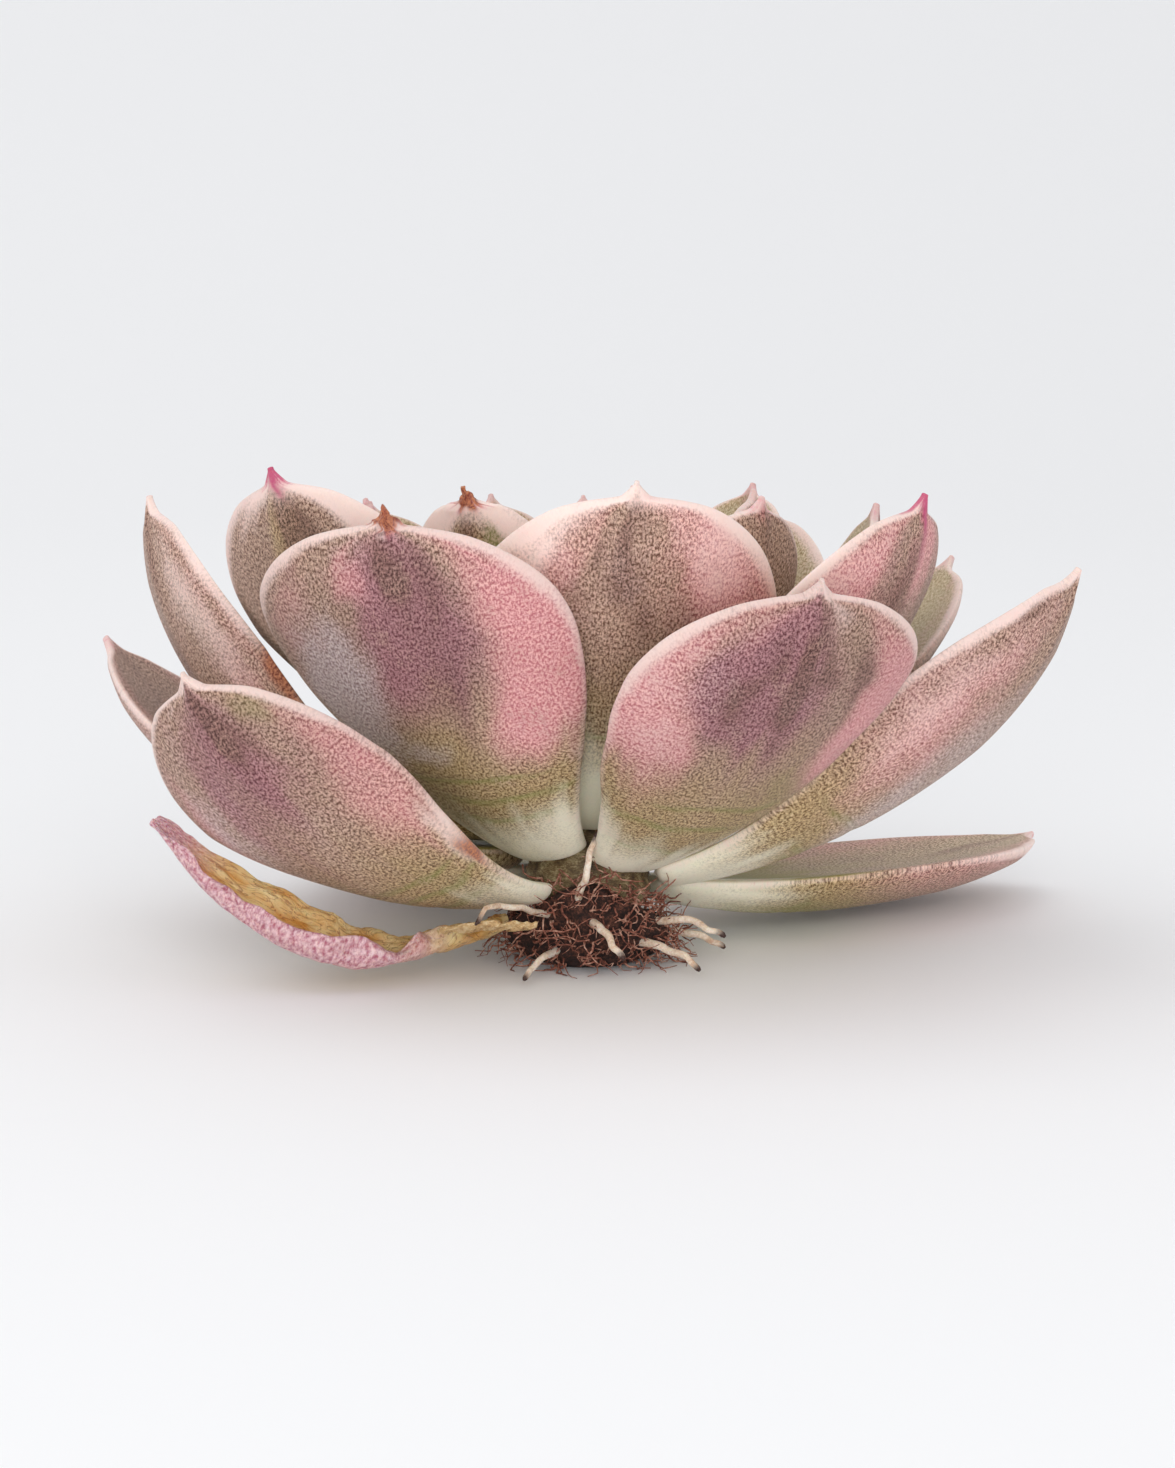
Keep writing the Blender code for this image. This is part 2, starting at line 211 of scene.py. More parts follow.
def sweep(work: bmesh.types.BMesh, path: list[Vector], radii: list[float], sides: int) -> None:
    """Adds a closed tube along a path to a bmesh, by extruding a ring of edges from point to point.

    The tube's points carry how far along it they are, from 0 to 1, as the attribute "along".

    Args:
        work: The bmesh that gets the tube.
        path: The points along the tube's middle.
        radii: The tube's radius at each point.
        sides: How many sides the tube has.
    """
    layer = work.verts.layers.float.get("along") or work.verts.layers.float.new("along")
    along = (path[1] - path[0]).normalized()
    turn = Vector((0, 0, 1)).rotation_difference(along).to_matrix().to_4x4()
    start = Matrix.Translation(path[0]) @ turn
    made = bmesh.ops.create_circle(work, cap_ends=True, segments=sides, radius=radii[0], matrix=start)
    ring = made["verts"]
    edges = list({edge for corner in ring for edge in corner.link_edges})
    for k in range(1, len(path)):
        ahead = (path[min(k + 1, len(path) - 1)] - path[k - 1]).normalized()
        ring, edges = extrude_ring(work, edges)
        bend = along.rotation_difference(ahead).to_matrix().to_4x4()
        size = Matrix.Scale(radii[k] / radii[k - 1], 4)
        move = Matrix.Translation(path[k]) @ bend @ size @ Matrix.Translation(-path[k - 1])
        bmesh.ops.transform(work, matrix=move, verts=ring)
        for corner in ring:
            corner[layer] = k / (len(path) - 1)
        along = ahead
    bmesh.ops.holes_fill(work, edges=edges)
    bmesh.ops.recalc_face_normals(work, faces=work.faces)


def spread(values: Sequence[float], t: float) -> float:
    """Reads a row of values smoothly, by a Catmull-Rom curve through them.

    Args:
        values: The row.
        t: Where to read it, from 0 at its start to 1 at its end.

    Returns:
        The value there.
    """
    place = t * (len(values) - 1)
    k = min(int(place), len(values) - 2)
    x = place - k
    before, first, second, after = (values[min(max(k + j, 0), len(values) - 1)] for j in (-1, 0, 1, 2))
    return 0.5 * (
        2 * first
        + (second - before) * x
        + (2 * before - 5 * first + 4 * second - after) * x**2
        + (3 * first - before - 3 * second + after) * x**3
    )


# -------- The crown, where everything starts --------


@dataclass
class Crown:
    """The plane where the leaves leave the stem, found from the stem's box in the frame."""

    lean: float = math.radians(7.0)
    stem_radius: float = 5.6 * MM
    tip_radius: float = 0.7 * MM
    stem_height: float = 15.5 * MM
    taper: float = 1.7
    foot_depth: float = 2.6 * MM
    foot_radius: float = 3.6 * MM
    height: float = 5.9 * MM
    place: Matrix = field(init=False)
    foot: Vector = field(init=False)

    def __post_init__(self) -> None:
        """Finds the crown's placement, leaning back about the stem's middle, and the foot below it."""
        low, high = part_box("stem")
        middle = (low[0] + high[0]) / 2
        behind = low[1] + self.stem_radius * math.cos(self.lean)
        up = high[2] - self.stem_height * math.cos(self.lean) - self.tip_radius * math.sin(self.lean)
        self.place = Matrix.Translation((middle, behind, up)) @ Matrix.Rotation(-self.lean, 4, "X")
        self.foot = Vector((middle, behind, up - self.height))

    def radius(self, height: float) -> float:
        """The stem's radius.

        Args:
            height: How far above the crown's plane, or below it where negative.

        Returns:
            The radius there.
        """
        if height < 0:
            drop = min(1.0, -height / self.foot_depth) ** 1.5
            return self.stem_radius + (self.foot_radius - self.stem_radius) * drop
        share = min(1.0, height / self.stem_height)
        return self.tip_radius + (self.stem_radius - self.tip_radius) * (1 - share**self.taper)


# -------- The shape of a leaf --------


@dataclass
class LeafForm:
    """One leaf's shape: the rule and numbers of the CAD node that it stands for, with a fuller cusp."""

    index: int
    nudge: float = 0.0
    drop: float = 0.0
    length: float | None = None
    width: float | None = None
    thickness: float | None = None
    rise: float | None = None
    curl: float = 36.0
    sway: float = 0.0
    roll: float = 0.0
    shoulder: float = 0.60
    fullness: float = 1.15
    blunt: float = 0.60
    first_azimuth: float = -86.5
    golden_angle: float = 137.5
    pitch: float = 0.42 * MM
    seat_gap: float = 0.3 * MM
    full_length: float = 42.0 * MM
    full_width: float = 24.0 * MM
    full_thickness: float = 3.2 * MM
    length_fall: float = 39.5
    length_fall_power: float = 2.6
    rise_first: float = 24.0
    rise_step: float = 1.65
    small_aspect: float = 0.54
    neck: float = 0.24
    cup: float = 0.22
    round_power: float = 2.2
    body_at_ends: float = 0.60
    full_tip: float = 3.0 * MM
    tip_width: float = 5.6 * MM
    tip_taper: float = 1.15
    tip_in_blade: float = 0.42
    tip_thickness: float = 0.5 * MM
    tip_blend: float = 1.6

    def __post_init__(self) -> None:
        """Fills what this leaf doesn't state from the spiral's own laws."""
        age = self.index / self.length_fall
        self.azimuth = self.first_azimuth - self.golden_angle * self.index + self.nudge
        self.length = self.length or self.full_length * (1 - age**self.length_fall_power)
        self.width = self.width or min(self.full_width, self.small_aspect * self.length)
        share = min(1.0, 0.35 + 0.65 * self.length / self.full_length)
        self.thickness = self.thickness or self.full_thickness * share
        self.tip_length = self.full_tip * min(1.0, self.length / self.full_length)
        if self.rise is None:
            self.rise = self.rise_first + self.rise_step * self.index
        self.seat_height = self.pitch * self.index - self.drop

    def outline(self, s: float) -> float:
        """Half the blade's width.

        Args:
            s: The share of the way from the neck to the tip.

        Returns:
            The half width there.
        """
        blade_end = 1 - (1 - self.tip_in_blade) * self.tip_length / self.length
        if s < self.shoulder:
            swell = math.sin(math.pi / 2 * s / self.shoulder) ** self.fullness
            blade = self.neck + (1 - self.neck) * swell
        else:
            x = min(1.0, (s - self.shoulder) / (blade_end - self.shoulder))
            blade = (1 - x**self.round_power) ** self.blunt
        to_tip = min(1.0, (1 - s) * self.length / self.tip_length)
        point = self.tip_width * self.tip_length / self.full_tip / self.width * to_tip**self.tip_taper
        half = self.width / 2 * (blade**self.tip_blend + point**self.tip_blend) ** (1 / self.tip_blend)
        return max(half, 0.2 * MM)

    def body(self, s: float) -> float:
        """The blade's thickness at its midrib.

        Args:
            s: The share of the way from the neck to the tip.

        Returns:
            The thickness there.
        """
        swell = self.body_at_ends + (1 - self.body_at_ends) * math.sin(math.pi * s**0.8)
        near_tip = min(1.0, (1 - s) * self.length / (2.4 * self.tip_length))
        return self.tip_thickness + (self.thickness * swell - self.tip_thickness) * near_tip**0.8

    def direction(self, s: float) -> Vector:
        """The way the midrib runs.

        Args:
            s: The share of the way from the neck to the tip.

        Returns:
            The unit direction there, in the crown's own axes.
        """
        heading = math.radians(self.azimuth + self.sway * s)
        rise = math.radians(self.rise + self.curl * (s - 0.5))
        flat = math.cos(rise)
        return Vector((math.sin(heading) * flat, -math.cos(heading) * flat, math.sin(rise)))

    def frames(self, crown: Crown, shares: list[float]) -> list[tuple[Vector, Vector, Vector]]:
        """Follows the midrib.

        Args:
            crown: The crown that the leaf grows from.
            shares: Rising shares of the way from the neck to the tip.

        Returns:
            At each share, the midrib's point, the way to the leaf's side, and the way in, to the axis.
        """
        start = math.radians(self.azimuth)
        radius = crown.radius(self.seat_height) + self.seat_gap
        point = Vector((radius * math.sin(start), -radius * math.cos(start), self.seat_height))
        place = crown.place
        turn = place.to_3x3()
        made, last, longest = [], 0.0, 1 / 24
        for s in shares:
            while last < s - 1e-9:
                step = min(longest, s - last)
                point = point + self.direction(last + step / 2) * (step * self.length)
                last += step
            along = self.direction(s)
            heading = math.radians(self.azimuth + self.sway * s)
            side = Vector((math.cos(heading), math.sin(heading), 0))
            roll = Matrix.Rotation(math.radians(self.roll) * min(1.0, 1.6 * s), 3, along)
            inner = roll @ along.cross(side)
            made.append((place @ point, turn @ (roll @ side), turn @ inner))
        return made


# -------- How a leaf is coloured --------


class Zone(Enum):
    """The colour zones that a leaf's mesh carries, each as an attribute from 0 to 1."""

    BLUSH = "blush"
    PLUM = "plum"
    STRIPE = "stripe"
    BLOOM = "bloom"
    OLIVE = "olive"
    LIME = "lime"
    PALE = "pale"
    RIM = "rim"
    SCAR = "scar"
    TIP = "tip"
    INNER = "inner"
    # painted shade: darker olive-green on the inner face towards its base, where the leaves above shade it
    PAINTED_SHADE = "shade"
    TONE = "tone"


@dataclass
class Patch:
    """A soft oval patch of one colour zone: its middle and reach, across the blade and along it."""

    zone: Zone
    across: float
    along: float
    wide: float
    tall: float
    strength: float = 1.0

    def at(self, a: float, s: float) -> float:
        """How strong the patch is at a across and s along."""
        off = math.hypot((a - self.across) / self.wide, (s - self.along) / self.tall)
        return self.strength * (1 - smooth(0.1, 1.0, off))


@dataclass
class Paint:
    """Where a leaf has which colour: what the spiral's law gives, and the leaf's own patches."""

    rim_mm: float = 0.22
    tip_rim_mm: float = 0.75
    blush: float = 0.30
    plum: float = 0.45
    olive: float = 1.0
    # how strongly the pale base shows; set low on the leaves whose bases lie in shade among the others,
    # which is painted shade
    pale: float = 1.0
    inner: float = 0.9
    cusp: float = 0.35
    crust: float = 0.0
    tone: float = 0.5
    patches: tuple[Patch, ...] = ()

    def zones(self, form: LeafForm, a: float, s: float, through: float, crease: float) -> dict[Zone, float]:
        """Works out every zone's strength at a point of the blade.

        Args:
            form: The leaf's shape.
            a: Across the blade, from -1 to 1.
            s: Along the blade, from 0 at the neck to 1 at the tip.
            through: Above 0 on the inner face.
            crease: How near the point is to a growth crease, from 0 to 1.

        Returns:
            Each zone's strength.
        """
        seed = form.index * 3.7
        drift = noise.noise(Vector((a * 2.4, s * 3.6, seed)))
        streak = noise.noise(Vector((a * 11.0, s * 2.6, seed + 1.0)))
        fleck = noise.noise(Vector((a * 7.0, s * 12.0, seed + 2.0)))
        across = a + 0.20 * drift + 0.07 * fleck
        along = s + 0.07 * drift + 0.06 * streak
        to_margin_mm = (1 - abs(a)) * form.outline(s) / MM
        to_tip_mm = (1 - s) * form.length / MM
        rim_mm = self.rim_mm + (self.tip_rim_mm - self.rim_mm) * smooth(0.55, 0.92, s)
        rim_mm = rim_mm + 0.2 * drift + 0.15 * fleck
        near = min(to_margin_mm, 0.7 * to_tip_mm)
        rim = (1 - smooth(0.2 * rim_mm, 1.7 * rim_mm, near)) * (0.4 + 0.6 * smooth(0.5, 0.9, s))
        sides = smooth(0.2, 0.95, abs(across))
        to_cusp_mm = math.hypot(to_tip_mm, 0.8 * a * form.outline(s) / MM)
        made = {
            Zone.BLUSH: self.blush * sides * smooth(0.25, 0.6, along) * (0.85 + 0.5 * streak),
            Zone.PLUM: self.plum * spot(across, 0.0, 0.95) * smooth(0.3, 0.75, along) * (0.9 + 0.5 * streak),
            Zone.STRIPE: 0.45 * spot(across, 0.05, 0.26) * smooth(0.6, 0.9, along) + 0.25 * streak,
            Zone.BLOOM: 0.30 * drift,
            Zone.OLIVE: self.olive * smooth(0.74, 0.22, along),
            Zone.LIME: 0.75 * crease + 0.22 * smooth(0.45, 0.2, along),
            # the pale base towards the neck: partly the leaf's own pale colour, partly painted light
            # standing in for light bounced up into the shaded bases
            Zone.PALE: self.pale * smooth(0.36, 0.08, along + 0.06 * (1 - abs(a))),
            Zone.RIM: rim,
            Zone.SCAR: self.crust * (1 - smooth(1.0, 2.4, to_cusp_mm + 0.8 * fleck)),
            Zone.TIP: self.cusp * (1 - smooth(0.4, 3.0, to_cusp_mm + 1.2 * fleck)),
            Zone.INNER: self.inner if through > 0.02 else 0.0,
            # painted shade on the inner face towards its base, where the leaves above shade it
            Zone.PAINTED_SHADE: smooth(0.55, 0.25, along) if through > 0.02 else 0.0,
            Zone.TONE: self.tone + 0.25 * drift,
        }
        for patch in self.patches:
            made[patch.zone] += patch.at(across, along) * (0.35 if through > 0.02 else 1.0)
        return made


# -------- Finishes --------


@dataclass(frozen=True)
class LeafFlesh:
    """Living echeveria leaf: watery flesh under a skin of round cells, with a powder of white wax on it.

    Light goes in and comes out again, most of all at the thin pale margin. The wax lies in grains, which
    makes the skin look like fine felt, rough and not glossy.
    """

    flesh: str = "5A382A"
    flesh_light: str = "C6A793"
    blush: str = "B4606A"
    blush_light: str = "E8B4B0"
    plum: str = "5A1F2C"
    plum_light: str = "B5838A"
    stripe: str = "3A2118"
    stripe_light: str = "906A5E"
    olive: str = "66491F"
    olive_light: str = "CBB380"
    lime: str = "7E8440"
    # the pale base: the leaf's own pale colour, made lighter still as painted bounce light
    pale: str = "F0EBD6"
    rim: str = "E8CFC7"
    inner: str = "9A8458"
    inner_light: str = "D2C6A2"
    shade: str = "8E8636"
    # the colour of the painted shade on the inner face towards its base
    scar: str = "6E2C1E"
    scar_light: str = "B8764E"
    tip: str = "B0406A"
    bloom: str = "94787C"
    bloom_light: str = "E6DCDE"
    grain_mm: float = 0.19
    raggedness: float = 0.85
    roughness: float = 0.62
    scatter: float = 0.22
    scatter_reach: float = 2.2 * MM

    def coats(self) -> tuple[tuple[Zone, str, str | None, float, float], ...]:
        """The colours that lie over the flesh, the lowest first.

        Returns:
            Each coat's zone, its colour between the wax grains, its colour on them or None for the same
            all over, the largest share that it takes, and the zone's strength from which it takes that.
        """
        return (
            (Zone.PLUM, self.plum, self.plum_light, 0.9, 1.1),
            (Zone.OLIVE, self.olive, self.olive_light, 0.85, 1.1),
            (Zone.INNER, self.inner, self.inner_light, 0.8, 0.9),
            (Zone.BLUSH, self.blush, self.blush_light, 0.95, 1.2),
            (Zone.STRIPE, self.stripe, self.stripe_light, 0.8, 0.9),
            (Zone.LIME, self.lime, None, 0.55, 0.9),
            (Zone.BLOOM, self.bloom, self.bloom_light, 0.8, 1.1),
            # painted shade on the inner face near the base
            (Zone.PAINTED_SHADE, self.shade, None, 0.85, 0.9),
            (Zone.PALE, self.pale, None, 0.92, 1.15),
            (Zone.RIM, self.rim, None, 0.92, 1.1),
            (Zone.TIP, self.tip, None, 0.95, 0.9),
            (Zone.SCAR, self.scar, self.scar_light, 0.95, 0.9),
        )

    def make(self) -> bpy.types.Material:
        """Builds the material from the leaf's zones and a field of wax grains.

        Returns:
            The material.
        """
        material, tree, shader = new_material("leaf_flesh")
        place = add_node(tree, "UVMap", uv_map="leaf_mm").outputs["UV"]
        stretched = add_node(tree, "Mapping", {"Vector": place, "Scale": (1.0, 0.62, 1.0)})
        vector = stretched.outputs["Vector"]
        fine = add_node(
            tree,
            "TexNoise",
            {"Vector": vector, "Scale": 1 / self.grain_mm, "Detail": 4.0, "Roughness": 0.75},
        ).outputs["Fac"]
        cloud = add_node(
            tree, "TexNoise", {"Vector": vector, "Scale": 0.35, "Detail": 4.0, "Roughness": 0.6}
        ).outputs["Fac"]
        grain = add_node(
            tree, "MapRange", {"Value": fine, "From Min": 0.42, "From Max": 0.58}
        ).outputs["Result"]
        zone = {z: add_node(tree, "Attribute", attribute_name=z.value).outputs["Fac"] for z in Zone}
        rough = add_node(tree, "Math", {0: fine, 1: cloud}, operation="ADD").outputs[0]
        ragged = add_node(tree, "Math", {0: rough, 1: -1.0}, operation="ADD").outputs[0]
        skin = blend(tree, self.flesh, self.flesh_light, grain)
        for mask, dark, light, most, full in self.coats():
            over = blend(tree, dark, light, grain) if light else dark
            broken = {0: ragged, 1: self.raggedness, 2: zone[mask]}
            edge = add_node(tree, "Math", broken, operation="MULTIPLY_ADD")
            part = add_node(
                tree,
                "MapRange",
                {"Value": edge.outputs[0], "From Min": 0.05, "From Max": full, "To Max": most},
                interpolation_type="SMOOTHSTEP",
            )
            skin = blend(tree, skin, over, part.outputs["Result"])
        tone = add_node(tree, "MapRange", {"Value": zone[Zone.TONE], "To Min": 0.75, "To Max": 1.2})
        shaded = add_node(tree, "HueSaturation", {"Value": tone.outputs["Result"], "Color": skin})
        height = add_node(tree, "Math", {0: cloud, 1: 2.5, 2: fine}, operation="MULTIPLY_ADD")
        bump = add_node(
            tree, "Bump", {"Strength": 0.55, "Distance": 0.05 * MM, "Height": height.outputs[0]}
        )
        inputs = {
            "Base Color": shaded.outputs["Color"],
            "Normal": bump.outputs["Normal"],
            "Roughness": self.roughness,
            "IOR": 1.42,
            "Subsurface Weight": self.scatter,
            "Subsurface Radius": (1.0, 0.45, 0.3),
            "Subsurface Scale": self.scatter_reach,
            "Sheen Weight": 0.06,
            "Sheen Roughness": 0.5,
        }
        fill(tree, shader, inputs)
        return material


@dataclass(frozen=True)
class Tissue:
    """Dry or earthy plant matter that its colour's patches and fibres tell apart.

    A zone, where one is named, is an attribute of the mesh from 0 to 1, and from zone_from on it gives
    way to a colour of its own, with a ragged edge.
    """

    name: str
    dark: str
    mid: str
    light: str
    patch_mm: float
    fibre_mm: float
    roughness: float
    stretch: tuple[float, float, float] = (1, 1, 1)
    scatter: float = 0.0
    depth_mm: float = 0.15
    zone: str = ""
    zone_colour: str = "000000"
    zone_from: float = 0.0
    raggedness: float = 0.35
    zone_edge: tuple[float, float] = (0.12, 0.24)

    def make(self) -> bpy.types.Material:
        """Builds the material on the piece's own Object coordinates.

        Returns:
            The material.
        """
        material, tree, shader = new_material(self.name)
        place = add_node(tree, "TexCoord").outputs["Object"]
        patches = add_node(
            tree,
            "TexNoise",
            {"Vector": place, "Scale": 1 / (self.patch_mm * MM), "Detail": 5.0, "Roughness": 0.62},
        ).outputs["Fac"]
        drawn = add_node(tree, "Mapping", {"Vector": place, "Scale": self.stretch})
        fibres = add_node(
            tree,
            "TexNoise",
            {
                "Vector": drawn.outputs["Vector"],
                "Scale": 1 / (self.fibre_mm * MM),
                "Detail": 3.0,
                "Roughness": 0.7,
            },
        ).outputs["Fac"]
        both = add_node(tree, "Mix", {"Factor": 0.45, 2: patches, 3: fibres}).outputs[0]
        ramp = add_node(tree, "ValToRGB", {"Fac": both})
        for share, code in ((0.36, self.dark), (0.50, self.mid), (0.64, self.light)):
            ramp.color_ramp.elements.new(share).color = colour(code)
        ramp.color_ramp.elements.remove(ramp.color_ramp.elements[0])
        ramp.color_ramp.elements.remove(ramp.color_ramp.elements[-1])
        surface = ramp.outputs["Color"]
        if self.zone:
            mask = add_node(tree, "Attribute", attribute_name=self.zone).outputs["Fac"]
            broken = {0: both, 1: self.raggedness, 2: mask}
            ragged = add_node(tree, "Math", broken, operation="MULTIPLY_ADD")
            low, high = (self.zone_from + step for step in self.zone_edge)
            reach = {"Value": ragged.outputs[0], "From Min": low, "From Max": high}
            part = add_node(tree, "MapRange", reach).outputs["Result"]
            surface = blend(tree, surface, self.zone_colour, part)
        relief = {"Strength": 0.7, "Distance": self.depth_mm * MM, "Height": both}
        bump = add_node(tree, "Bump", relief)
        inputs = {
            "Base Color": surface,
            "Normal": bump.outputs["Normal"],
            "Roughness": self.roughness,
            "Subsurface Weight": self.scatter,
            "Subsurface Radius": (1.0, 0.5, 0.25),
            "Subsurface Scale": 1.0 * MM,
        }
        fill(tree, shader, inputs)
        return material


@dataclass(frozen=True)
class Backdrop:
    """Matte pale board: a smooth painted sweep with nothing on it."""

    shade: str = "F3F3F3"

    def make(self) -> bpy.types.Material:
        """Builds the material.

        Returns:
            The material.
        """
        material, tree, shader = new_material("matte_backdrop")
        fill(tree, shader, {"Base Color": colour(self.shade), "Roughness": 0.9})
        return material


# -------- The leaves --------


@dataclass
class RosetteLeaf:
    """One living leaf: a sphere drawn out into the leaf's shape, with its zones painted on its points."""

    node: str
    form: LeafForm
    paint: Paint
    creases: int = 3
    fine: bool = False
    fine_counts: tuple[int, int] = (64, 96)
    plain_counts: tuple[int, int] = (44, 60)

    def build(self, crown: Crown, material: bpy.types.Material) -> bpy.types.Object:
        """Builds the leaf in place of its CAD node.

        Args:
            crown: The crown that the leaf grows from.
            material: The leaf's material.

        Returns:
            The leaf.
        """
        round_count, long_count = self.fine_counts if self.fine else self.plain_counts
        work = bmesh.new()
        bmesh.ops.create_uvsphere(work, u_segments=round_count, v_segments=long_count, radius=1.0)
        layers = {zone: work.verts.layers.float.new(zone.value) for zone in Zone}
        across_mm = work.verts.layers.float.new("across_mm")
        along_mm = work.verts.layers.float.new("along_mm")
        level: dict[int, list[bmesh.types.BMVert]] = {}
        for corner in work.verts:
            polar = math.acos(max(-1.0, min(1.0, -corner.co.z))) / math.pi
            level.setdefault(round(polar * long_count), []).append(corner)
        steps = sorted(level)
        shares = [1 - (1 - step / long_count) ** 1.5 for step in steps]  # closer and closer to the tip
        for step, s, (centre, side, inner) in zip(steps, shares, self.form.frames(crown, shares)):
            pole = step in (0, long_count)
            for corner in level[step]:
                turn = math.atan2(corner.co.y, corner.co.x)
                across, through = (0.0, 0.0) if pole else (math.cos(turn), math.sin(turn))
                half = self.form.outline(s)
                corner.co = centre + self.offset(s, across, through, side, inner)
                corner.co += self.crumple(corner.co, s)
                crease = 0.0 if through > 0 else self.crease(s, across)
                for zone, value in self.paint.zones(self.form, across, s, through, crease).items():
                    corner[layers[zone]] = value
                corner[across_mm] = across * half / MM
                corner[along_mm] = s * self.form.length / MM
        self.lay_out(work, across_mm, along_mm)
        leaf = object_from(self.node + "_fine", work, material)
        subdivide(leaf, 1)
        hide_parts(self.node)
        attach(leaf, "root")
        return leaf

    def offset(self, s: float, across: float, through: float, side: Vector, inner: Vector) -> Vector:
        """How far a point of the skin lies from the midrib.

        Args:
            s: Along the blade.
            across: Across it, from -1 to 1.
            through: Through it, from -1 on the back to 1 on the inner face.
            side: The way to the leaf's side.
            inner: The way in, to the plant's axis.

        Returns:
            The offset.
        """
        form = self.form
        seed = form.index * 7.3
        half = form.outline(s)
        wave = noise.noise(Vector((s * 9.0, math.copysign(3.0, across), seed)))
        half *= 1 + 0.018 * wave * abs(across)
        cup = form.cup * math.sin(math.pi * (0.15 + 0.7 * s))
        share = 0.38 if through > 0 else 0.62
        lift = cup * half * across**2 + share * form.body(s) * through
        if through < 0:
            lift -= self.relief(s, across) * min(1.0, -2.5 * through)
        return side * (half * across) + inner * lift

    def crumple(self, point: Vector, s: float) -> Vector:
        """How far a point near a dried tip is shifted by the crust's crumpling.

        Args:
            point: The point.
            s: The share of the way from the neck to the tip.

        Returns:
            The shift, none away from the tip and on a leaf without a crust.
        """
        near = self.paint.crust * (1 - smooth(1.2, 2.6, (1 - s) * self.form.length / MM))
        if near <= 0:
            return Vector((0, 0, 0))
        crumbs = [noise.noise(point * 1400 + Vector((j * 9.0, 0, 0))) for j in range(3)]
        return Vector(crumbs) * (0.55 * MM * near)

    def crease(self, s: float, across: float) -> float:
        """How near a point of the back is to one of its growth creases.

        Args:
            s: Along the blade.
            across: Across it, from -1 to 1.

        Returns:
            From 0 away from them to 1 in the bottom of one.
        """
        seed = self.form.index * 5.1
        nearest = 0.0
        for k in range(self.creases):
            middle = 0.20 + 0.085 * k + 0.025 * math.sin(seed + 2.4 * k)
            bow = middle + 0.022 * noise.noise(Vector((across * 2.5, k * 4.0, seed))) - 0.02 * across**2
            reach = 1 - smooth(0.3, 0.9, abs(across - 0.4 * math.sin(seed + k)))
            nearest = max(nearest, reach * (1 - smooth(0.0, 0.016, abs(s - bow))))
        return nearest

    def relief(self, s: float, across: float) -> float:
        """How far the back of the blade stands out: its soft swells, its growth creases and its keel.

        Args:
            s: Along the blade.
            across: Across it, from -1 to 1.

        Returns:
            The height above the plain shape.
        """
        swell = 0.16 * MM * noise.noise(Vector((across * 2.2, s * 5.0, self.form.index * 5.1)))
        keel = 0.30 * MM * spot(across, 0.0, 0.30) * smooth(0.6, 0.88, s) * (1 - smooth(0.93, 1.0, s))
        return swell - 0.13 * MM * self.crease(s, across) + keel

    @staticmethod
    def lay_out(
        work: bmesh.types.BMesh, across_mm: bmesh.types.BMLayerItem, along_mm: bmesh.types.BMLayerItem
    ) -> None:
        """Gives the skin a UV map whose units are millimetres across and along the blade.

        Args:
            work: The leaf's bmesh.
            across_mm: The layer with each point's place across the blade.
            along_mm: The layer with each point's place along it.
        """
        layout = work.loops.layers.uv.new("leaf_mm")
        for face in work.faces:
            for loop in face.loops:
                loop[layout].uv = (loop.vert[across_mm], loop.vert[along_mm])


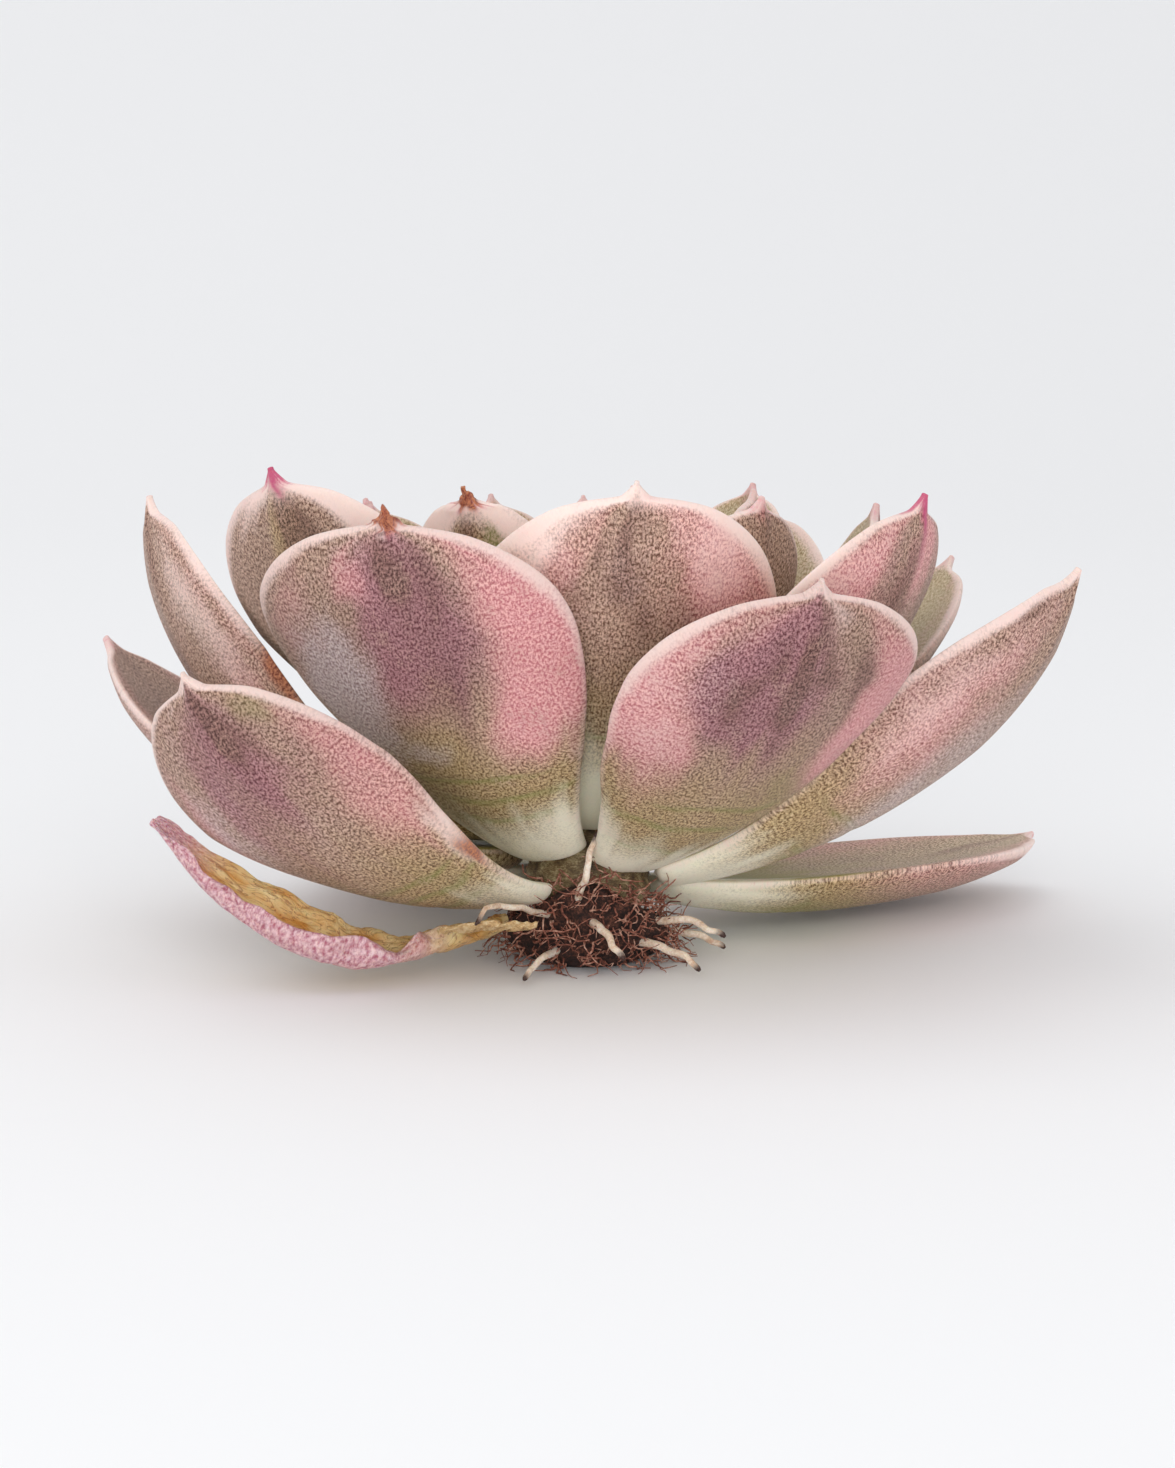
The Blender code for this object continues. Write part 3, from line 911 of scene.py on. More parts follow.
def own_leaves() -> dict[int, tuple[str, dict[str, float], Paint, bool]]:
    """The leaves that differ from the spiral's law.

    Returns:
        For each place in the spiral: node name, own sizes, paint, and whether the leaf stands in front.
    """
    blush, plum, stripe, bloom = Zone.BLUSH, Zone.PLUM, Zone.STRIPE, Zone.BLOOM
    green, lime, pale, rim, scar, tip = Zone.OLIVE, Zone.LIME, Zone.PALE, Zone.RIM, Zone.SCAR, Zone.TIP
    return {
        1: (
            "low_leaf_right",
            dict(nudge=-11, rise=3, curl=26, length=46 * MM, width=20 * MM, blunt=0.85),
            Paint(
                blush=0.6, plum=0.0, inner=0.5, tone=0.95, patches=(Patch(lime, 0.0, 0.3, 1.2, 0.4, 0.65),)
            ),
            True,
        ),
        3: ("low_leaf_back", dict(nudge=-8, rise=6, curl=26, length=38 * MM), Paint(), False),
        4: (
            "outer_leaf_right",
            dict(rise=36, curl=54, length=47 * MM, width=21 * MM, blunt=0.95, roll=-20),
            Paint(
                blush=0.35, plum=0.0, cusp=0.1, tone=0.74,
                patches=(
                    Patch(rim, -0.7, 0.66, 0.45, 0.36, 0.4), Patch(blush, -0.45, 0.64, 0.6, 0.4, 0.6),
                    Patch(bloom, 0.2, 0.5, 0.9, 0.4, 0.5), Patch(stripe, -0.85, 0.9, 0.3, 0.07, 0.6),
                ),
            ),
            True,
        ),
        5: (
            "outer_leaf_front_left",
            dict(nudge=1, drop=1.6 * MM, rise=29, curl=64, length=42.5 * MM, width=19.5 * MM, roll=26),
            Paint(
                blush=0.25, plum=0.35, cusp=0.0, tone=0.54,
                patches=(
                    Patch(blush, 0.8, 0.6, 0.4, 0.4, 0.6), Patch(blush, -0.7, 0.62, 0.5, 0.3, 0.5),
                    Patch(bloom, -0.62, 0.58, 0.5, 0.3, 0.55), Patch(plum, 0.1, 0.82, 0.7, 0.3, 0.8),
                    Patch(stripe, 0.15, 0.88, 0.6, 0.14, 0.8), Patch(lime, 0.72, 0.9, 0.4, 0.1, 0.55),
                    # painted shade: the stripe patch at across -0.95, along 0.36 darkens the low left
                    # margin, where the blade's underside lies in shade
                    Patch(stripe, -0.95, 0.36, 0.3, 0.2, 0.6), Patch(rim, -0.2, 0.985, 0.6, 0.03, 0.6),
                    Patch(rim, 1.0, 0.4, 0.16, 0.18, 0.8), Patch(scar, 1.04, 0.36, 0.1, 0.1, 0.8),
                ),
            ),
            True,
        ),
        7: (
            "outer_leaf_front_right",
            dict(nudge=6, sway=-18, rise=38, curl=38, length=41 * MM, width=24.6 * MM, shoulder=0.66),
            Paint(
                blush=0.55, plum=0.55, rim_mm=0.3, tip_rim_mm=0.9, cusp=0.15, tone=0.45,
                patches=(
                    Patch(blush, -0.8, 0.62, 0.42, 0.4, 0.8), Patch(rim, -0.8, 0.62, 0.36, 0.4, 0.35),
                    Patch(blush, 0.72, 0.62, 0.5, 0.36, 0.9), Patch(blush, -0.3, 0.93, 0.5, 0.12, 0.4),
                    Patch(plum, -0.22, 0.77, 0.6, 0.28, 1.3), Patch(stripe, -0.28, 0.74, 0.12, 0.22, 0.8),
                    Patch(stripe, 0.02, 0.78, 0.12, 0.24, 1.1), Patch(stripe, 0.24, 0.8, 0.08, 0.16, 0.8),
                    Patch(stripe, 0.42, 0.72, 0.12, 0.26, 0.8), Patch(lime, 0.35, 0.45, 0.5, 0.12, 0.35),
                    Patch(rim, 0.4, 0.94, 0.2, 0.1, 0.5),
                ),
            ),
            True,
        ),
        8: (
            "outer_leaf_far_left",
            dict(rise=25, curl=66, length=46.5 * MM, blunt=0.85),
            # pale=0.2: painted shade at this leaf's base, which lies among the others
            Paint(blush=0.4, plum=0.2, pale=0.2, inner=0.1, tone=0.75),
            False,
        ),
        10: (
            "front_leaf_left",
            dict(
                nudge=-17.5, drop=0.5 * MM, sway=28, rise=45.5, curl=36, length=42.3 * MM, width=26 * MM,
                shoulder=0.68,
            ),
            Paint(
                blush=0.15, plum=0.55, rim_mm=0.3, tip_rim_mm=1.3, cusp=0.7, crust=1.0, tone=0.5,
                patches=(
                    Patch(blush, 0.86, 0.72, 0.6, 0.36, 1.2), Patch(blush, 0.75, 0.5, 0.5, 0.26, 0.6),
                    Patch(blush, -0.28, 0.88, 0.34, 0.14, 0.7), Patch(blush, -0.8, 0.74, 0.3, 0.3, 0.35),
                    Patch(plum, 0.1, 0.78, 0.6, 0.35, 1.0), Patch(stripe, 0.34, 0.85, 0.2, 0.16, 0.7),
                    Patch(stripe, 0.06, 0.9, 0.14, 0.14, 0.6), Patch(stripe, 0.16, 0.6, 0.3, 0.3, 0.35),
                    Patch(stripe, -0.78, 0.84, 0.12, 0.06, 0.5), Patch(bloom, -0.55, 0.56, 0.55, 0.3, 1.1),
                    Patch(bloom, -0.1, 0.42, 0.3, 0.08, 0.6), Patch(green, -0.3, 0.42, 0.8, 0.12, 0.4),
                ),
            ),
            True,
        ),
        12: (
            "front_leaf_right",
            dict(nudge=-5, rise=47, curl=46, length=41.5 * MM, width=23.8 * MM),
            Paint(
                blush=0.4, plum=0.45, cusp=0.9, pale=0.3, tone=0.75,
                patches=(
                    Patch(blush, -0.6, 0.72, 0.6, 0.35, 1.0), Patch(rim, -0.75, 0.75, 0.4, 0.3, 0.4),
                    Patch(blush, 0.25, 0.9, 0.6, 0.2, 0.9), Patch(tip, 0.1, 0.94, 0.4, 0.1, 0.4),
                    Patch(stripe, -0.1, 0.8, 0.35, 0.2, 0.5),
                ),
            ),
            True,
        ),
        13: (
            "side_leaf_left",
            dict(nudge=-21, rise=41, curl=88, length=49 * MM, width=16.5 * MM, thickness=2.5 * MM, roll=28),
            Paint(
                # pale=0.2: painted shade at this leaf's base, which lies among the others
                blush=0.4, plum=0.1, cusp=0.1, pale=0.2, tone=0.78,
                patches=(
                    Patch(rim, 0.55, 0.75, 0.5, 0.35, 0.6), Patch(blush, 0.5, 0.55, 0.5, 0.25, 0.4),
                    Patch(bloom, -0.4, 0.5, 0.5, 0.5, 0.6), Patch(stripe, -0.25, 0.75, 0.22, 0.2, 0.5),
                    Patch(scar, 1.05, 0.56, 0.14, 0.14, 0.9),
                ),
            ),
            True,
        ),
        15: (
            "front_leaf_middle",
            dict(nudge=-3, rise=51, curl=30, length=38 * MM, width=25 * MM, blunt=0.5),
            Paint(
                blush=0.35, plum=0.15, rim_mm=0.5, tip_rim_mm=1.2, cusp=0.05, tone=0.88,
                patches=(
                    Patch(rim, -0.72, 0.85, 0.35, 0.3, 0.85), Patch(blush, 0.62, 0.78, 0.6, 0.36, 0.8),
                    Patch(blush, -0.45, 0.8, 0.35, 0.3, 0.5), Patch(rim, 0.65, 0.84, 0.5, 0.25, 0.5),
                    Patch(stripe, -0.28, 0.83, 0.12, 0.16, 0.7),
                    Patch(stripe, -0.05, 0.86, 0.12, 0.18, 0.8), Patch(stripe, 0.12, 0.72, 0.1, 0.2, 0.5),
                    # the pale patch at the base is painted light: the base brightened as if lit by light
                    # bounced up from below
                    Patch(stripe, 0.4, 0.66, 0.25, 0.16, 0.4), Patch(pale, 0.0, 0.2, 1.2, 0.3, 0.9),
                ),
            ),
            True,
        ),
        16: ("middle_leaf_16", dict(nudge=-6, length=36.5 * MM), Paint(tone=0.6), False),
        17: ("middle_leaf_right", dict(curl=50, length=35 * MM, width=17 * MM), Paint(tone=0.62), False),
        18: (
            "inner_leaf_left",
            dict(
                nudge=-25, sway=11, rise=49, curl=50, length=40 * MM, width=24 * MM, thickness=2.6 * MM,
                roll=18,
            ),
            Paint(
                # pale=0.2: painted shade at this leaf's base, which lies among the others
                blush=0.1, plum=0.0, rim_mm=0.8, tip_rim_mm=1.8, cusp=0.9, pale=0.2, tone=0.66,
                patches=(
                    Patch(rim, 0.95, 0.78, 0.5, 0.5, 0.9), Patch(rim, -0.5, 0.93, 0.4, 0.12, 0.6),
                    Patch(green, 0.05, 0.8, 0.5, 0.3, 0.8), Patch(stripe, 0.18, 0.86, 0.24, 0.18, 0.8),
                    Patch(stripe, 0.25, 0.7, 0.45, 0.35, 0.5), Patch(bloom, -0.5, 0.5, 0.5, 0.3, 0.4),
                ),
            ),
            True,
        ),
        19: ("middle_leaf_19", dict(length=33 * MM), Paint(tone=0.6), False),
        20: ("inner_leaf_20", dict(length=31.5 * MM), Paint(blush=0.2, plum=0.0, tone=0.75), False),
        21: ("inner_leaf_21", dict(nudge=-5, length=30 * MM, width=16 * MM), Paint(tone=0.62), False),
        22: ("inner_leaf_22", dict(length=31 * MM), Paint(tone=0.65), False),
        23: (
            "inner_leaf_front",
            dict(nudge=-24, rise=60, length=30 * MM),
            Paint(
                blush=0.05, plum=0.0, rim_mm=1.0, tip_rim_mm=2.0, cusp=0.9, crust=1.0, tone=0.66,
                patches=(
                    Patch(rim, -0.6, 0.9, 0.5, 0.2, 0.9), Patch(rim, 0.7, 0.9, 0.3, 0.2, 0.7),
                    Patch(green, 0.0, 0.8, 0.5, 0.25, 1.0), Patch(lime, 0.5, 0.84, 0.4, 0.14, 1.0),
                    Patch(scar, 0.05, 0.96, 0.4, 0.06, 1.0), Patch(stripe, 0.0, 0.88, 0.25, 0.14, 0.5),
                ),
            ),
            True,
        ),
        24: ("inner_leaf_24", dict(length=28 * MM), Paint(tone=0.6), False),
        25: ("inner_leaf_25", dict(length=27.5 * MM), Paint(tone=0.65), False),
        26: (
            "inner_leaf_26",
            dict(nudge=-3, rise=66, length=24 * MM, width=10 * MM),
            Paint(tone=0.6),
            False,
        ),
    }


@dataclass
class Rosette:
    """All the living leaves."""

    crown: Crown
    count: int = 34
    fallen: tuple[int, ...] = (2,)
    finish: LeafFlesh = field(default_factory=LeafFlesh)

    @staticmethod
    def law_name(index: int) -> str:
        """The CAD node's name for a leaf that follows the law.

        Args:
            index: The leaf's place in the spiral, the oldest leaf first.

        Returns:
            The name.
        """
        if index < 12:
            return f"outer_leaf_{index:02d}"
        if index < 20:
            return f"middle_leaf_{index:02d}"
        return f"{'inner' if index < 28 else 'heart'}_leaf_{index:02d}"

    def build(self) -> None:
        """Builds every living leaf."""
        material = self.finish.make()
        own = own_leaves()
        for index in range(1, self.count):
            if index in self.fallen:
                continue
            law = Paint(
                blush=0.35 + 0.15 * math.sin(2.1 * index),
                plum=0.25 + 0.15 * math.cos(1.3 * index),
                rim_mm=0.3 + 0.03 * index,
                tip_rim_mm=0.8 + 0.05 * index,
                # a weaker pale base, as painted shade at the bases of leaves that lie among the others
                pale=0.5,
                tone=0.5 + 0.006 * index,
            )
            name, sizes, paint, front = own.get(index, (self.law_name(index), {}, law, False))
            leaf = RosetteLeaf(name, LeafForm(index, **sizes), paint, fine=front)
            leaf.build(self.crown, material)
            log.info("leaf %s", name)


# -------- The dry leaf and the husk --------


@dataclass(frozen=True)
class WitheredSkin:
    """A leaf dried to amber paper, see-through and veined, whose rolled margin is still pink."""

    amber: str = "CE9648"
    amber_light: str = "F3D8A2"
    fold: str = "84491F"
    pink: str = "A4566A"
    pink_light: str = "EBC6C8"
    rust: str = "8A3F2E"

    def make(self) -> bpy.types.Material:
        """Builds the material from the sheet's own millimetres and its "roll" zone.

        Returns:
            The material.
        """
        material, tree, shader = new_material("withered_leaf_skin")
        place = add_node(tree, "UVMap", uv_map="sheet_mm").outputs["UV"]
        lengthwise = {"Vector": place, "Scale": (0.35, 1.0, 1.0)}
        drawn = add_node(tree, "Mapping", lengthwise).outputs["Vector"]
        clouds = add_node(
            tree, "TexNoise", {"Vector": drawn, "Scale": 0.55, "Detail": 5.0, "Roughness": 0.6}
        ).outputs["Fac"]
        veins = add_node(
            tree, "TexNoise", {"Vector": drawn, "Scale": 1.1, "Detail": 3.0, "Distortion": 1.4}
        ).outputs["Fac"]
        folds = add_node(tree, "Math", {0: veins, 1: -0.5}, operation="ADD").outputs[0]
        folds = add_node(tree, "Math", {0: folds}, operation="ABSOLUTE").outputs[0]
        folds = add_node(
            tree, "MapRange", {"Value": folds, "From Max": 0.035, "To Min": 0.75, "To Max": 0.0}
        ).outputs["Result"]
        spread_out = add_node(
            tree, "MapRange", {"Value": clouds, "From Min": 0.36, "From Max": 0.64}
        ).outputs["Result"]
        sheet = blend(tree, blend(tree, self.amber, self.amber_light, spread_out), self.fold, folds)
        grit = add_node(
            tree, "TexNoise", {"Vector": place, "Scale": 3.2, "Detail": 4.0, "Roughness": 0.7}
        ).outputs["Fac"]
        grit_share = add_node(
            tree, "MapRange", {"Value": grit, "From Min": 0.36, "From Max": 0.62}
        ).outputs["Result"]
        spots = add_node(
            tree, "MapRange", {"Value": clouds, "From Min": 0.60, "From Max": 0.72, "To Max": 0.8}
        ).outputs["Result"]
        margin = blend(tree, blend(tree, self.pink, self.pink_light, grit_share), self.rust, spots)
        roll = add_node(tree, "Attribute", attribute_name="roll").outputs["Fac"]
        height = add_node(tree, "Math", {0: veins, 1: 1.5, 2: grit}, operation="MULTIPLY_ADD")
        relief = {"Strength": 0.8, "Distance": 0.2 * MM, "Height": height.outputs[0]}
        bump = add_node(tree, "Bump", relief)
        inputs = {
            "Base Color": blend(tree, sheet, margin, roll),
            "Normal": bump.outputs["Normal"],
            "Roughness": 0.5,
            "Subsurface Weight": 0.35,
            "Subsurface Radius": (1.0, 0.5, 0.2),
            "Subsurface Scale": 1.2 * MM,
        }
        fill(tree, shader, inputs)
        return material


@dataclass
class DryBlade:
    """A thin dry blade that follows the CAD ribbon's path, crinkled, with a rolled margin.

    The path, the half widths and the tilts in degrees run from the crown to the tip. The margin rolls by
    the angle roll in degrees, from the share roll_from of the half width outwards.
    """

    node: str
    path_mm: tuple[tuple[float, float, float], ...]
    halves_mm: tuple[float, ...]
    tilts: tuple[float, ...]
    thickness: float
    crinkle: float
    roll: float
    roll_from: float
    finish: Tissue | WitheredSkin
    slot_name: str
    roll_share: float = 0.42
    wrinkles: float = 1.0

    def build(self, foot: Vector) -> bpy.types.Object:
        """Builds the blade from a grid bent along its path.

        Args:
            foot: The plant's axis on the surface that it stands on.

        Returns:
            The blade.
        """
        work = bmesh.new()
        rolled = work.verts.layers.float.new("roll")
        layout = work.loops.layers.uv.new("sheet_mm")
        bmesh.ops.create_grid(work, x_segments=110, y_segments=40, size=1.0)
        length_mm = 1.1 * sum(math.dist(a, b) for a, b in zip(self.path_mm, self.path_mm[1:]))
        for face in work.faces:
            for loop in face.loops:
                flat = loop.vert.co
                loop[layout].uv = ((flat.x + 1) / 2 * length_mm, flat.y * max(self.halves_mm))
        for corner in work.verts:
            t, c = (corner.co.x + 1) / 2, corner.co.y
            ragged = 0.10 * noise.noise(Vector((t * 14.0, 1.0, 6.0)))
            margin = smooth(0.0, 0.18, c + ragged - self.roll_from) * smooth(0.20, 0.42, t + ragged)
            corner[rolled] = max(margin, smooth(0.80, 0.93, t))
            corner.co = foot + self.point(t, c)
        blade = object_from(self.node + "_fine", work, self.finish.make())
        shell = blade.modifiers.new("shell", "SOLIDIFY")
        shell.thickness = self.thickness
        shell.offset = 0.0
        subdivide(blade, 1)
        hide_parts(self.node)
        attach(blade, "root")
        return blade

    def point(self, t: float, c: float) -> Vector:
        """Where the sheet is.

        Args:
            t: Along its path, from 0 at the crown to 1 at the tip.
            c: Across it, from -1 at the plain margin to 1 at the rolled one.

        Returns:
            The point, from the plant's foot.
        """
        behind, centre, ahead = (
            Vector([spread(row, min(1.0, max(0.0, at))) for row in zip(*self.path_mm)])
            for at in (t - 0.02, t, t + 0.02)
        )
        centre = centre * MM
        along = (ahead - behind).normalized()
        level = Vector((0, 0, 1)).cross(along).normalized()
        side = Matrix.Rotation(math.radians(spread(self.tilts, t)), 3, along) @ level
        normal = along.cross(side)
        half = spread(self.halves_mm, t) * MM
        run = t * self.wrinkles
        broad = noise.noise(Vector((run * 5.0, c * 0.8, 2.0)))
        crimp = noise.noise(Vector((run * 15.0, c * 2.5, 4.0)))
        small = noise.noise(Vector((run * 46.0, c * 9.0, 9.0)))
        lift = self.crinkle * smooth(-0.1, 0.3, t) * (0.55 * broad + 0.55 * crimp + 0.25 * small)
        wave = 1 + 0.26 * noise.noise(Vector((t * 9.0, math.copysign(2.0, c), 7.0))) * abs(c)
        if c <= self.roll_from:
            return centre + side * (half * c * 0.95 * wave) + normal * lift
        angle = math.radians(self.roll) * (1 + 0.35 * noise.noise(Vector((t * 11.0, 0.0, 3.0))))
        bend = (c - self.roll_from) / (1 - self.roll_from) * angle
        radius = self.roll_share * half * (1 + 0.4 * crimp)
        out = half * self.roll_from * 0.95 * wave + radius * math.sin(bend)
        return centre + side * out + normal * (lift + radius * (1 - math.cos(bend)))


# -------- The stem, the clump and the roots --------


@dataclass
class Stem:
    """The short stem, its skin ringed with the scars of fallen leaves."""

    crown: Crown
    rings: int = 40
    sides: int = 48

    def build(self, material: bpy.types.Material) -> bpy.types.Object:
        """Builds the stem by extruding a ring up it.

        Args:
            material: The stem's material.

        Returns:
            The stem.
        """
        work = bmesh.new()
        low, high = -self.crown.foot_depth, self.crown.stem_height
        heights = [low + (high - low) * k / (self.rings - 1) for k in range(self.rings)]
        ring = bmesh.ops.create_circle(work, cap_ends=True, segments=self.sides, radius=1.0)["verts"]
        edges = list({edge for corner in ring for edge in corner.link_edges})
        for k, height in enumerate(heights):
            if k:
                ring, edges = extrude_ring(work, edges)
            for corner in ring:
                turn = math.atan2(corner.co.y, corner.co.x)
                scar = 0.12 * MM * math.sin(height / MM * 4.5 + 2.0 * math.sin(3 * turn))
                radius = self.crown.radius(height) - 0.15 * MM + scar
                corner.co = Vector((radius * math.cos(turn), radius * math.sin(turn), height))
        bmesh.ops.holes_fill(work, edges=edges)
        bmesh.ops.recalc_face_normals(work, faces=work.faces)
        bmesh.ops.transform(work, matrix=self.crown.place, verts=work.verts)
        stem = object_from("stem_fine", work, material)
        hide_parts("stem")
        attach(stem, "root")
        return stem


@dataclass(frozen=True)
class RootLine:
    """One bare root: where it leaves the clump, and the point its end reaches, in millimetres."""

    node: str
    azimuth: float
    height_mm: float
    end_mm: tuple[float, float, float]
    radius_mm: float
    sag_mm: float
    hook_mm: float = 0.0


@dataclass
class RootBall:
    """The clump of dark soil with its fine fibres and bare roots."""

    crown: Crown
    gap: float = 0.35 * MM
    levels: tuple[tuple[float, float], ...] = ((0.0, 4.4), (0.16, 6.0), (0.42, 7.0), (0.72, 7.2), (1.0, 6.9))
    rim_back: float = -2.0 * MM
    rim_front: float = 1.2 * MM
    fibre_count: int = 420
    fibres_on_top: float = 0.4
    slimness: float = 0.88
    roots: tuple[RootLine, ...] = (
        RootLine("root_front", 2, 4.9, (3.1, -11.2, 2.3), 0.46, -0.5),
        RootLine("root_upright", -8, 6.5, (0.8, -10.2, 13.2), 0.40, 0.3),
        RootLine("root_left_high", -30, 5.2, (-9.4, -14.4, 7.4), 0.36, -0.6, hook_mm=1.3),
        RootLine("root_left_low", -24, 2.0, (-5.4, -11.8, 0.7), 0.40, -0.4),
        RootLine("root_right_high", 58, 4.2, (11.8, -7.2, 3.4), 0.42, -0.7),
        RootLine("root_right_low", 40, 2.6, (9.6, -9.2, 0.9), 0.45, -0.6),
        RootLine("root_right_back", 84, 2.4, (12.0, -0.6, 0.9), 0.42, -0.5),
        RootLine("root_back", 168, 2.2, (2.2, 12.0, 0.8), 0.46, -0.3),
    )

    def rim_height(self, turn: float) -> float:
        """The height of the clump's rim above the foot.

        Args:
            turn: The azimuth in radians.

        Returns:
            The height there.
        """
        front = max(0.0, math.cos(turn)) ** 3
        height = self.rim_back + (self.rim_front - self.rim_back) * front
        radius = self.crown.radius(height) + self.gap + 0.5 * MM
        rim = self.crown.place @ Vector((radius * math.sin(turn), -radius * math.cos(turn), height))
        return rim.z - self.crown.foot.z

    def side(self, turn: float, share: float) -> Vector:
        """A point on the clump's outside.

        Args:
            turn: The azimuth in radians.
            share: The share of the clump's height.

        Returns:
            The point, from the foot.
        """
        shares = [level[0] for level in self.levels]
        k = max(j for j in range(len(shares) - 1) if shares[j] <= share or j == 0)
        part = (share - shares[k]) / (shares[k + 1] - shares[k])
        radius = (self.levels[k][1] + (self.levels[k + 1][1] - self.levels[k][1]) * part) * MM
        height = share * (self.rim_height(turn) - 0.3 * MM)
        return Vector((radius * math.sin(turn), -radius * math.cos(turn), height))

    def build(self, soil: Tissue, fibre: Tissue, skin: Tissue) -> None:
        """Builds the clump, its fibres and its bare roots.

        Args:
            soil: The clump's finish.
            fibre: The fine fibres' finish.
            skin: The bare roots' finish.
        """
        self.build_clump(soil.make())
        self.build_fibres(fibre.make())
        pale = skin.make()
        for root in self.roots:
            self.build_root(root, pale)
            log.info("root %s", root.node)

    def build_clump(self, material: bpy.types.Material) -> None:
        """Builds the mound of soil from a sphere that is pressed on the ground and roughened.

        Args:
            material: The soil's material.
        """
        work = bmesh.new()
        bmesh.ops.create_uvsphere(work, u_segments=120, v_segments=80, radius=1.0)
        foot = self.crown.foot
        bottom_ends, side_ends = 0.18, 0.72
        for corner in work.verts:
            turn = math.atan2(corner.co.x, -corner.co.y)
            polar = math.acos(max(-1.0, min(1.0, -corner.co.z))) / math.pi
            if polar < bottom_ends:  # the flat bottom
                flat = self.side(turn, 0.0) * (polar / bottom_ends)
                point = Vector((flat.x, flat.y, 0.0))
            elif polar < side_ends:  # the side
                point = self.side(turn, (polar - bottom_ends) / (side_ends - bottom_ends))
            else:  # the top, round the stem
                top = self.side(turn, 1.0)
                shrink = math.cos((polar - side_ends) / (1 - side_ends) * math.pi / 2)
                point = Vector((top.x * shrink, top.y * shrink, top.z + 0.2 * MM * (1 - shrink)))
            grit = noise.fractal(point * 380, 0.9, 2.1, 5) * 0.55 * MM * min(1.0, polar * 5)
            outward = Vector((math.sin(turn), -math.cos(turn), 0.25))
            push = outward if polar < side_ends else Vector((0, 0, 0.6))
            point = point + push * grit
            point.z = max(0.0, point.z)
            corner.co = foot + point
        clump = object_from("root_clump_fine", work, material)
        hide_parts("root_clump")
        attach(clump, "root")

    def build_fibres(self, material: bpy.types.Material) -> None:
        """Builds the mat of fine rootlets that holds the soil together.

        Args:
            material: The rootlets' material.
        """
        draw = random.Random(7)
        work = bmesh.new()
        foot = self.crown.foot
        for _ in range(self.fibre_count):
            turn = draw.gauss(0.0, 1.3)
            share = draw.uniform(0.08, 0.98)
            start = self.side(turn, share)
            if draw.random() < self.fibres_on_top:
                top = self.side(turn, 1.0)
                start = Vector((top.x * 0.86, top.y * 0.86, top.z + draw.uniform(-0.4, 1.9) * MM))
            outward = Vector((math.sin(turn), -math.cos(turn), 0))
            sideways = Vector((math.cos(turn), math.sin(turn), 0))
            reach = draw.uniform(1.0, 3.2) * MM
            lean, drop = draw.uniform(-1.2, 1.2), draw.uniform(-0.9, 0.9)
            thick = draw.uniform(0.05, 0.13) * MM
            path = []
            for k in range(7):
                t = k / 6
                stray = wander(t * 3, 7.1, turn * 9 + share * 31) * (0.9 * MM * t)
                step = outward * (0.25 * reach + 0.55 * reach * t) + sideways * (lean * reach * t * t)
                point = start + step + Vector((0, 0, drop * reach * t)) + stray
                point.z = max(thick, point.z)
                path.append(foot + point)
            sweep(work, path, [thick * (1 - 0.6 * k / 6) for k in range(7)], 5)
        fibres = object_from("root_fibres", work, material)
        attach(fibres, "root")

    def build_root(self, root: RootLine, material: bpy.types.Material) -> None:
        """Builds one bare root, knobbly and tapering to a dark broken end.

        Args:
            root: The root's line.
            material: The root's material.
        """
        turn = math.radians(root.azimuth)
        share = min(0.98, root.height_mm * MM / self.rim_height(turn))
        outward = Vector((math.sin(turn), -math.cos(turn), 0))
        start = self.side(turn, share) - outward * (0.6 * MM)
        end = Vector(root.end_mm) * MM
        bend = Vector((0, 0, -root.sag_mm * MM)) + outward * (0.5 * MM)
        count = 26
        path, radii = [], []
        for k in range(count):
            t = k / (count - 1)
            kink = wander(t * 3.4, 5.0, root.azimuth) * (0.5 * MM)
            point = start.lerp(end, t) + bend * (4 * t * (1 - t)) + kink * math.sin(math.pi * t)
            point.z -= root.hook_mm * MM * smooth(0.82, 1.0, t)
            path.append(self.crown.foot + point)
            knob = 1 + 0.12 * noise.noise(Vector((t * 14, root.azimuth, 0)))
            worn = 0.55 if k == count - 1 else 1.0
            radii.append(self.slimness * root.radius_mm * MM * (1 - 0.35 * t) * knob * worn)
        work = bmesh.new()
        sweep(work, path, radii, 12)
        piece = object_from(root.node + "_fine", work, material)
        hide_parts(root.node)
        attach(piece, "root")


# -------- Floor, light and camera --------


@dataclass(frozen=True)
class Softbox:
    """A large square lamp: where it stands, the length of its side, and its power in watts."""

    name: str
    place: tuple[float, float, float]
    size: float
    power: float


